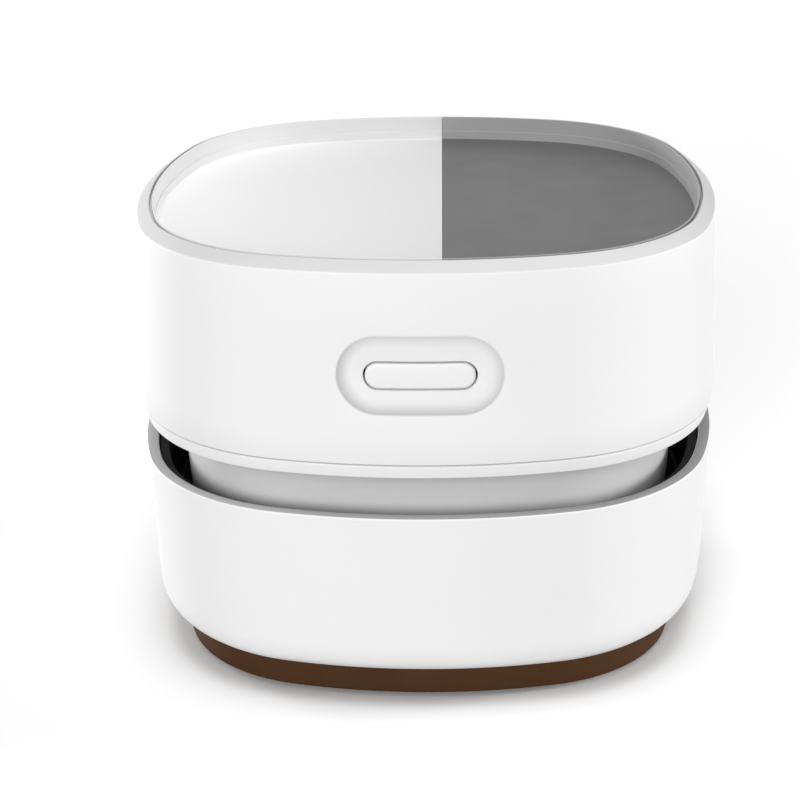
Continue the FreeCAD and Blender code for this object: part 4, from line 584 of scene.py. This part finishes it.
def make_upper_housing():
    rim = TOP_WIDTH - CHAMFER_WIDTH
    under = LEDGE_LEVEL - LEDGE_THICKNESS
    edge = FOOT_EDGE
    bottom = SEAM_LEVEL + SEAM_SHOWN
    dish_side, dish_reach = DISH_WINDOW
    port_side, port_reach = PORT_WINDOW
    dish_low, dish_high = BUTTON_LEVEL - dish_reach, BUTTON_LEVEL + dish_reach
    port_low, port_high = PORT_LEVEL - port_reach, PORT_LEVEL + port_reach
    steps = [port_low + (port_high - port_low) * i / PORT_ROWS for i in range(PORT_ROWS + 1)]
    steps += [dish_low + (dish_high - dish_low) * i / DISH_ROWS for i in range(DISH_ROWS + 1)]
    steps = sorted(set(round(s, 4) for s in steps))
    wall = [(housing_width(bottom + edge), bottom + edge)]
    wall += [(housing_width(s), s) for s in steps if s > bottom + edge]
    inner = [(housing_width(s) - HOUSING_WALL, s) for s in reversed(steps)]
    crown = softened([(housing_width(dish_high), dish_high), (TOP_WIDTH, CHAMFER_LEVEL),
                      (rim, TOP_LEVEL), (rim, LEDGE_LEVEL), (rim - LEDGE_REACH, LEDGE_LEVEL),
                      (rim - LEDGE_REACH, under), (housing_width(under) - HOUSING_WALL, under),
                      (housing_width(dish_high) - HOUSING_WALL, dish_high)],
                     [0, 0.5, 0.1, 0, 0.2, 0.2, 0, 0])[1:-1]
    foot = [(housing_width(bottom) - HOUSING_WALL, bottom), (housing_width(bottom) - edge, bottom),
            (housing_width(bottom) - 0.3 * edge, bottom + 0.3 * edge)]
    profile = wall + crown + inner + foot
    rings = [outline(width, level) for width, level in profile]

    outer_rows = {round(level, 4): index for index, (_, level) in enumerate(wall)}
    first_inner = len(wall) + len(crown)
    inner_rows = {round(level, 4): first_inner + index for index, (_, level) in enumerate(inner)}
    holes = [(3, -dish_side, dish_side, dish_low, dish_high),
             (1, -port_side, port_side, port_low, port_high),
             (1, LIGHT_OFFSET - LIGHT_WINDOW, LIGHT_OFFSET + LIGHT_WINDOW, port_low, port_high)]
    gaps = set()
    windows = []
    for quarter, left, right, low, high in holes:
        columns = flank_columns(quarter, left, right)
        first, last = outer_rows[round(low, 4)], outer_rows[round(high, 4)]
        start, end = inner_rows[round(high, 4)], inner_rows[round(low, 4)]
        for column in columns[:-1]:
            gaps |= {(index, column) for index in range(first, last)}
            gaps |= {(index, column) for index in range(start, end)}
        windows.append((columns, first, last, start, end))
    mesh, rows = swept(rings, gaps=gaps)
    shapes = [(-1, 0.0, BUTTON_LEVEL, dish_rings()), (1, 0.0, PORT_LEVEL, port_rings(PORT)),
              (1, LIGHT_OFFSET, PORT_LEVEL, port_rings((LIGHT_HOLE, LIGHT_HOLE)))]
    painted_shade_where(mesh, ring_painted_shade)
    for (columns, first, last, start, end), (side, middle, level, shape) in zip(windows, shapes):
        outer = loop_of(rows, first, last, columns)
        inner_loop = [rows[end][c] for c in columns]
        inner_loop += [rows[i][columns[-1]] for i in range(end - 1, start - 1, -1)]
        inner_loop += [rows[start][c] for c in reversed(columns[:-1])]
        inner_loop += [rows[i][columns[0]] for i in range(start + 1, end)]
        pill_hole(mesh, outer, inner_loop, side, middle, level, shape)
    return finished(mesh, "upper_housing_skin", "head", "white_shell", 30, ["upper_housing"])


# Pill button

def button_ring(length, height, depth):
    """Points round the button at a depth behind the housing's face."""
    half = (length - height) / 2
    spots = [Vector((half * (1 - step / 8), height / 2)) for step in range(16)]
    spots += [Vector((-half, 0)) + Vector((-math.sin(turn), math.cos(turn))) * height / 2
              for turn in [math.pi * step / 16 for step in range(16)]]
    points = []
    for spot in spots + [-spot for spot in spots]:
        level = BUTTON_LEVEL - BUTTON_DROP + spot.y
        points.append(Vector((spot.x, depth - wall_y(spot.x, housing_width(level)), level)))
    return points


def make_button():
    """The pill button: rounded edges and a barely crowned face."""
    length, height = BUTTON
    face = DISH_DEPTH - BUTTON_PROUD
    rings = [button_ring(length, height, face + BUTTON_DEPTH)]
    for step in range(7):
        turn = math.pi / 2 * step / 6
        inset = 2 * BUTTON_ROUND * (1 - math.cos(turn))
        depth = face + BUTTON_ROUND * (1 - math.sin(turn))
        rings.append(button_ring(length - inset, height - inset, depth))
    for step in range(1, 7):
        inset = 2 * BUTTON_ROUND + (height - 2 * BUTTON_ROUND) * step / 6
        rise = BUTTON_CROWN * (1 - (1 - step / 6) ** 2)
        rings.append(button_ring(length - inset, height - inset, face - rise))
    mesh, rows = swept(rings, closed=False)
    mesh.faces.new(rows[0])
    bmesh.ops.remove_doubles(mesh, verts=rows[-1], dist=0.001)
    return finished(mesh, "power_button_skin", "button", "white_shell", 40, ["power_button"])


# Lower housing: lip, neck and deck

def slot_cutter():
    """Boxes of the exhaust slots, in the rear flank and the rear halves of the side flanks."""
    mesh = bmesh.new()
    fan_bore = NECK_FOOT_WIDTH - NECK_WALL - COVER_SEAT
    middle = (NECK_WIDTH + fan_bore) / 2
    reach = NECK_WIDTH - fan_bore + 2 * SLOT_OVERRUN
    level = COVER_TOP + SLOT_SILL + SLOT_HEIGHT / 2
    spots = [(index * SLOT_PITCH, middle, SLOT_WIDTH, reach) for index in REAR_SLOTS]
    for index in SIDE_SLOTS:
        along = (index + SIDE_SHIFT) * SLOT_PITCH
        spots += [(side * middle, along, reach, SLOT_WIDTH) for side in (-1, 1)]
    for x, y, wide, deep in spots:
        shape = Matrix.Translation((x, y, level)) @ Matrix.Diagonal((wide, deep, SLOT_HEIGHT, 1))
        bmesh.ops.create_cube(mesh, size=1.0, matrix=shape)
    return plain_object(mesh, "slots")


def neck_painted_shadow(spot):
    """Painted shadow of the lip: the neck is greyest right under the lip and fades to white downwards."""
    down = LIP_LEVEL - 0.1 - spot.z
    if down < 0:
        return 0.0
    return NECK_PAINTED_SHADOW * max(0.0, 1 - down / NECK_PAINTED_SHADOW_DEPTH)


def make_lower_housing():
    cover_bore = NECK_FOOT_WIDTH - NECK_WALL
    fan_bore = cover_bore - COVER_SEAT
    # Extra rings down the neck carry its painted shadow.
    neck = []
    for step in range(1, NECK_STEPS):
        down = NECK_ROUND + step / NECK_STEPS * NECK_PAINTED_SHADOW_DEPTH
        share = down / (LIP_LEVEL - NECK_LEVEL)
        neck.append((NECK_WIDTH + (NECK_FOOT_WIDTH - NECK_WIDTH) * share, LIP_LEVEL - down))
    corners = [(SEAM_WIDTH, SEAM_LEVEL), (LIP_WIDTH, LIP_LEVEL), (NECK_WIDTH, LIP_LEVEL), *neck,
               (NECK_FOOT_WIDTH, NECK_LEVEL), (cover_bore, NECK_LEVEL), (cover_bore, COVER_TOP),
               (fan_bore, COVER_TOP), (fan_bore, LIP_LEVEL), (DECK_RING, LIP_LEVEL)]
    radii = [0.2, 0.4, NECK_ROUND, *[0] * len(neck), 0.25, 0.1, 0, 0.1, 0, 0]
    profile = softened(corners + [(DECK_RING, SEAM_LEVEL)], radii + [0])
    rings = [outline(width, level) for width, level in profile[:-1]]
    rings += [circle(DECK_HOLE, LIP_LEVEL), circle(DECK_HOLE, SEAM_LEVEL)]
    rings.append(outline(DECK_RING, SEAM_LEVEL))
    mesh, _ = swept(rings)
    return finished(mesh, "lower_housing_skin", "head", "white_shell", 30, ["lower_housing"],
                    slot_cutter(), neck_painted_shadow)


def rim_painted_shadow(spot):
    """Painted shadow of the head on the rim's top face, deeper on its right side."""
    if spot.z < RIM_LEVEL - RIM_EDGE:
        return 0.0
    return min(1.0, RIM_PAINTED_SHADOW * (1 + RIM_TURN * spot.x / RIM_WIDTH))


def make_lower_shell():
    lean = (RIM_WIDTH - SHELL_FOOT_WIDTH) / (RIM_LEVEL - SHELL_LEVEL)
    inside = SHELL_LEVEL + SHELL_WALL
    corners = [(SHELL_FOOT_WIDTH, SHELL_LEVEL), (RIM_WIDTH, RIM_LEVEL),
               (RIM_WIDTH - SHELL_WALL, RIM_LEVEL),
               (SHELL_FOOT_WIDTH - SHELL_WALL + lean * SHELL_WALL, inside),
               (SHELL_RING, inside), (SHELL_RING, SHELL_LEVEL)]
    profile = softened(corners, [SHELL_ROUND, 0.25, 0.25, SHELL_ROUND - SHELL_WALL, 0, 0], 10)
    rings = [outline(width, level) for width, level in profile[:-1]]
    rings += [circle(MOUTH, inside), circle(MOUTH, SHELL_LEVEL), outline(SHELL_RING, SHELL_LEVEL)]
    mesh, _ = swept(rings)
    painted_shade_where(mesh, rim_painted_shadow)
    return finished(mesh, "lower_shell_skin", "dust_box", "white_shell", 30, ["lower_shell"])


# Tray halves

def tray_painted_shade(spot, floor, side):
    """Painted shade and light: the white floor turns greyer towards the split and the walls are greyer than
    the floor; the grey tray's walls are painted lighter than its floor.
    """
    along = TRAY_MIDDLE_PAINTED_SHADE * (TOP_WIDTH + spot.x) / TOP_WIDTH if side < 0 else 0.0
    share = min(1.0, max(0.0, (spot.z - floor) / TRAY_BLEND))
    return along + (1 - along) * share


def make_tray(name, side, slot):
    rim = TOP_WIDTH - CHAMFER_WIDTH - TRAY_FIT
    edge = TOP_WIDTH - CHAMFER_WIDTH - TRAY_LINE
    floor = LEDGE_LEVEL + TRAY_FLOOR
    inner = TOP_WIDTH - CHAMFER_WIDTH - TRAY_CLEAR - TRAY_WALL
    top = TOP_LEVEL - TRAY_SHOWN
    step_level = TOP_LEVEL - TRAY_DROP - TRAY_STEP_DEPTH
    groove = TOP_LEVEL - TRAY_GROOVE
    corners = [(rim, LEDGE_LEVEL), (rim, groove), (edge, groove), (edge, top), (inner + TRAY_STEP, top),
               (inner + TRAY_STEP, step_level), (inner, step_level), (inner, floor),
               (TRAY_RING, floor), (TRAY_RING, LEDGE_LEVEL)]
    profile = softened(corners, [0.02, 0.02, 0.05, 0.08, 0.08, 0.03, 0.06, 0.18, 0, 0], 6)
    mesh, rows = swept([outline(width, level) for width, level in profile])
    painted_shade_where(mesh, lambda spot: tray_painted_shade(spot, floor, side))
    upper, lower = rows[-2], rows[-1]
    middle = set(upper) | set(lower)
    for face in list(mesh.faces):
        if all(vert in middle for vert in face.verts):
            mesh.faces.remove(face)
    mesh.faces.new(upper)
    mesh.faces.new(list(reversed(lower)))
    turn = Matrix.Rotation(math.radians(TRAY_SPLIT_TURN), 3, "Z")
    normal = turn @ Vector((1, 0, 0))
    spot = Vector((TRAY_SPLIT, 0, 0)) + normal * side * TRAY_SPLIT_GAP / 2
    geometry = list(mesh.verts) + list(mesh.edges) + list(mesh.faces)
    cut = bmesh.ops.bisect_plane(mesh, geom=geometry, plane_co=spot, plane_no=normal,
                                 clear_inner=side > 0, clear_outer=side < 0)
    edges = [item for item in cut["geom_cut"] if isinstance(item, bmesh.types.BMEdge)]
    bmesh.ops.contextual_create(mesh, geom=edges)
    return finished(mesh, name + "_skin", "head", slot, 30, [name])


# Bristles under the base

def make_bristles():
    """Filaments of every tuft, slightly splayed towards the table."""
    chance = random.Random(5)
    low, high = levels("bristle_tufts")
    root = high - TUFT_SEAT
    mesh = bmesh.new()
    for radius, count in TUFT_ROWS:
        for index in range(count):
            angle = math.radians(TUFT_TURN) + 2 * math.pi * index / count
            middle = Vector((radius * math.cos(angle), radius * math.sin(angle), 0))
            for _ in range(FILAMENTS):
                spin = chance.uniform(0, 2 * math.pi)
                out = (TUFT_RADIUS - FILAMENT_RADIUS) * math.sqrt(chance.random())
                aim = Vector((math.cos(spin), math.sin(spin), 0))
                foot = middle + aim * out
                tip = foot + aim * FILAMENT_SPLAY * chance.uniform(0.2, 1.0)
                filament(mesh, foot, tip, root + TUFT_SEAT / 2, low + chance.uniform(0.0, 0.25))
    return finished(mesh, "bristles", "dust_box", "bristle", 60, ["bristle_tufts"])


def filament(mesh, foot, tip, root, end):
    """One bristle that leans outward as it goes down, with a finer tip."""
    rows = []
    for share, thick in ((0.0, 1.0), (0.4, 1.0), (0.8, 0.85), (1.0, 0.4)):
        place = foot.lerp(tip, share * share)
        level = root + (end - root) * share
        rows.append([mesh.verts.new((place.x + FILAMENT_RADIUS * thick * math.cos(turn),
                                     place.y + FILAMENT_RADIUS * thick * math.sin(turn), level))
                     for turn in (0.0, math.pi / 2, math.pi, 1.5 * math.pi)])
    for low, high in zip(rows, rows[1:]):
        for index in range(4):
            after = (index + 1) % 4
            mesh.faces.new((low[index], low[after], high[after], high[index]))
    mesh.faces.new(rows[0])
    mesh.faces.new(list(reversed(rows[-1])))


make_upper_housing()
make_button()
make_bristles()
make_lower_housing()
make_lower_shell()
make_tray("tray_left", -1, "tray_white")
make_tray("tray_right", 1, "tray_grey")


# Camera

def make_camera():
    azimuth, elevation = math.radians(CAMERA_AZIMUTH), math.radians(CAMERA_ELEVATION)
    back = Vector((math.sin(azimuth) * math.cos(elevation),
                   -math.cos(azimuth) * math.cos(elevation), math.sin(elevation)))
    level_right = Vector((math.cos(azimuth), math.sin(azimuth), 0))
    level_up = back.cross(level_right)
    roll = math.radians(CAMERA_ROLL)
    right = level_right * math.cos(roll) - level_up * math.sin(roll)
    up = level_right * math.sin(roll) + level_up * math.cos(roll)
    data = bpy.data.cameras.new("camera")
    camera = bpy.data.objects.new("camera", data)
    bpy.context.scene.collection.objects.link(camera)
    matrix = Matrix((right, up, back)).transposed().to_4x4()
    matrix.translation = (LOOK_AT + back * CAMERA_DISTANCE) * MM
    camera.matrix_world = matrix
    data.sensor_width = SENSOR
    data.lens = SENSOR * CAMERA_DISTANCE * PIXELS_PER_MM / PICTURE
    data.shift_x = (PICTURE / 2 - MIDDLE_X) / PICTURE
    data.shift_y = (MIDDLE_Y - PICTURE / 2) / PICTURE
    data.clip_start = 0.01
    data.clip_end = 20.0
    bpy.context.scene.camera = camera


# Floor, world and lamps

def looked_at(tree_nodes, links):
    """1 for what the camera sees directly, in a mirror or through glass, and 0 for light that is thrown."""
    path = tree_nodes.new("ShaderNodeLightPath")
    seen = path.outputs["Is Camera Ray"]
    for name in ("Is Glossy Ray", "Is Transmission Ray"):
        larger = tree_nodes.new("ShaderNodeMath")
        larger.operation = "MAXIMUM"
        links.new(seen, larger.inputs[0])
        links.new(path.outputs[name], larger.inputs[1])
        seen = larger.outputs["Value"]
    return seen


def make_floor():
    mesh = bmesh.new()
    bmesh.ops.create_circle(mesh, cap_ends=True, radius=FLOOR_RADIUS, segments=64)
    data = bpy.data.meshes.new("floor")
    mesh.to_mesh(data)
    mesh.free()
    floor = bpy.data.objects.new("floor", data)
    bpy.context.scene.collection.objects.link(floor)
    material, tree_nodes, links, shader = new_material("floor")
    white = tree_nodes.new("ShaderNodeBsdfDiffuse")
    white.inputs["Color"].default_value = (*grey(FLOOR_SEEN), 1)
    shader.inputs["Base Color"].default_value = (*grey(FLOOR_PALE), 1)
    shader.inputs["Roughness"].default_value = 0.9
    shader.inputs["Specular IOR Level"].default_value = 0.0
    mix = tree_nodes.new("ShaderNodeMixShader")
    links.new(looked_at(tree_nodes, links), mix.inputs["Fac"])
    links.new(shader.outputs["BSDF"], mix.inputs[1])
    links.new(white.outputs["BSDF"], mix.inputs[2])
    links.new(mix.outputs["Shader"], tree_nodes["Material Output"].inputs["Surface"])
    data.materials.append(material)


def make_world():
    world = bpy.data.worlds.new("studio")
    world.use_nodes = True
    bpy.context.scene.world = world
    tree_nodes, links = world.node_tree.nodes, world.node_tree.links
    background = tree_nodes["Background"]
    background.inputs["Color"].default_value = (1, 1, 1, 1)
    background.inputs["Strength"].default_value = WORLD_LIGHT
    seen = tree_nodes.new("ShaderNodeBackground")
    seen.inputs["Strength"].default_value = 1.0
    seen.inputs["Color"].default_value = (1, 1, 1, 1)
    mix = tree_nodes.new("ShaderNodeMixShader")
    links.new(looked_at(tree_nodes, links), mix.inputs["Fac"])
    links.new(background.outputs["Background"], mix.inputs[1])
    links.new(seen.outputs["Background"], mix.inputs[2])
    links.new(mix.outputs["Shader"], tree_nodes["World Output"].inputs["Surface"])


def lamp(name, azimuth, elevation, wide, level):
    """Soft light from far away. Level 1 lights white paper that faces it to white. Angles in degrees."""
    azimuth, elevation = math.radians(azimuth), math.radians(elevation)
    back = Vector((math.sin(azimuth) * math.cos(elevation),
                   -math.cos(azimuth) * math.cos(elevation), math.sin(elevation)))
    data = bpy.data.lights.new(name, "SUN")
    data.angle = math.radians(wide)
    data.energy = level * math.pi
    item = bpy.data.objects.new(name, data)
    bpy.context.scene.collection.objects.link(item)
    item.rotation_mode = "QUATERNION"
    item.rotation_quaternion = back.to_track_quat("Z", "Y")


make_camera()
make_floor()
make_world()
lamp("key", -14, 18, 28, 0.52)
lamp("overhead", 0, 83, 30, 0.47)
lamp("left_edge", -133, 3, 14, 0.95)
lamp("right_edge", 102, 12, 14, 0.55)

view = bpy.context.scene.view_settings
view.view_transform = "Standard"
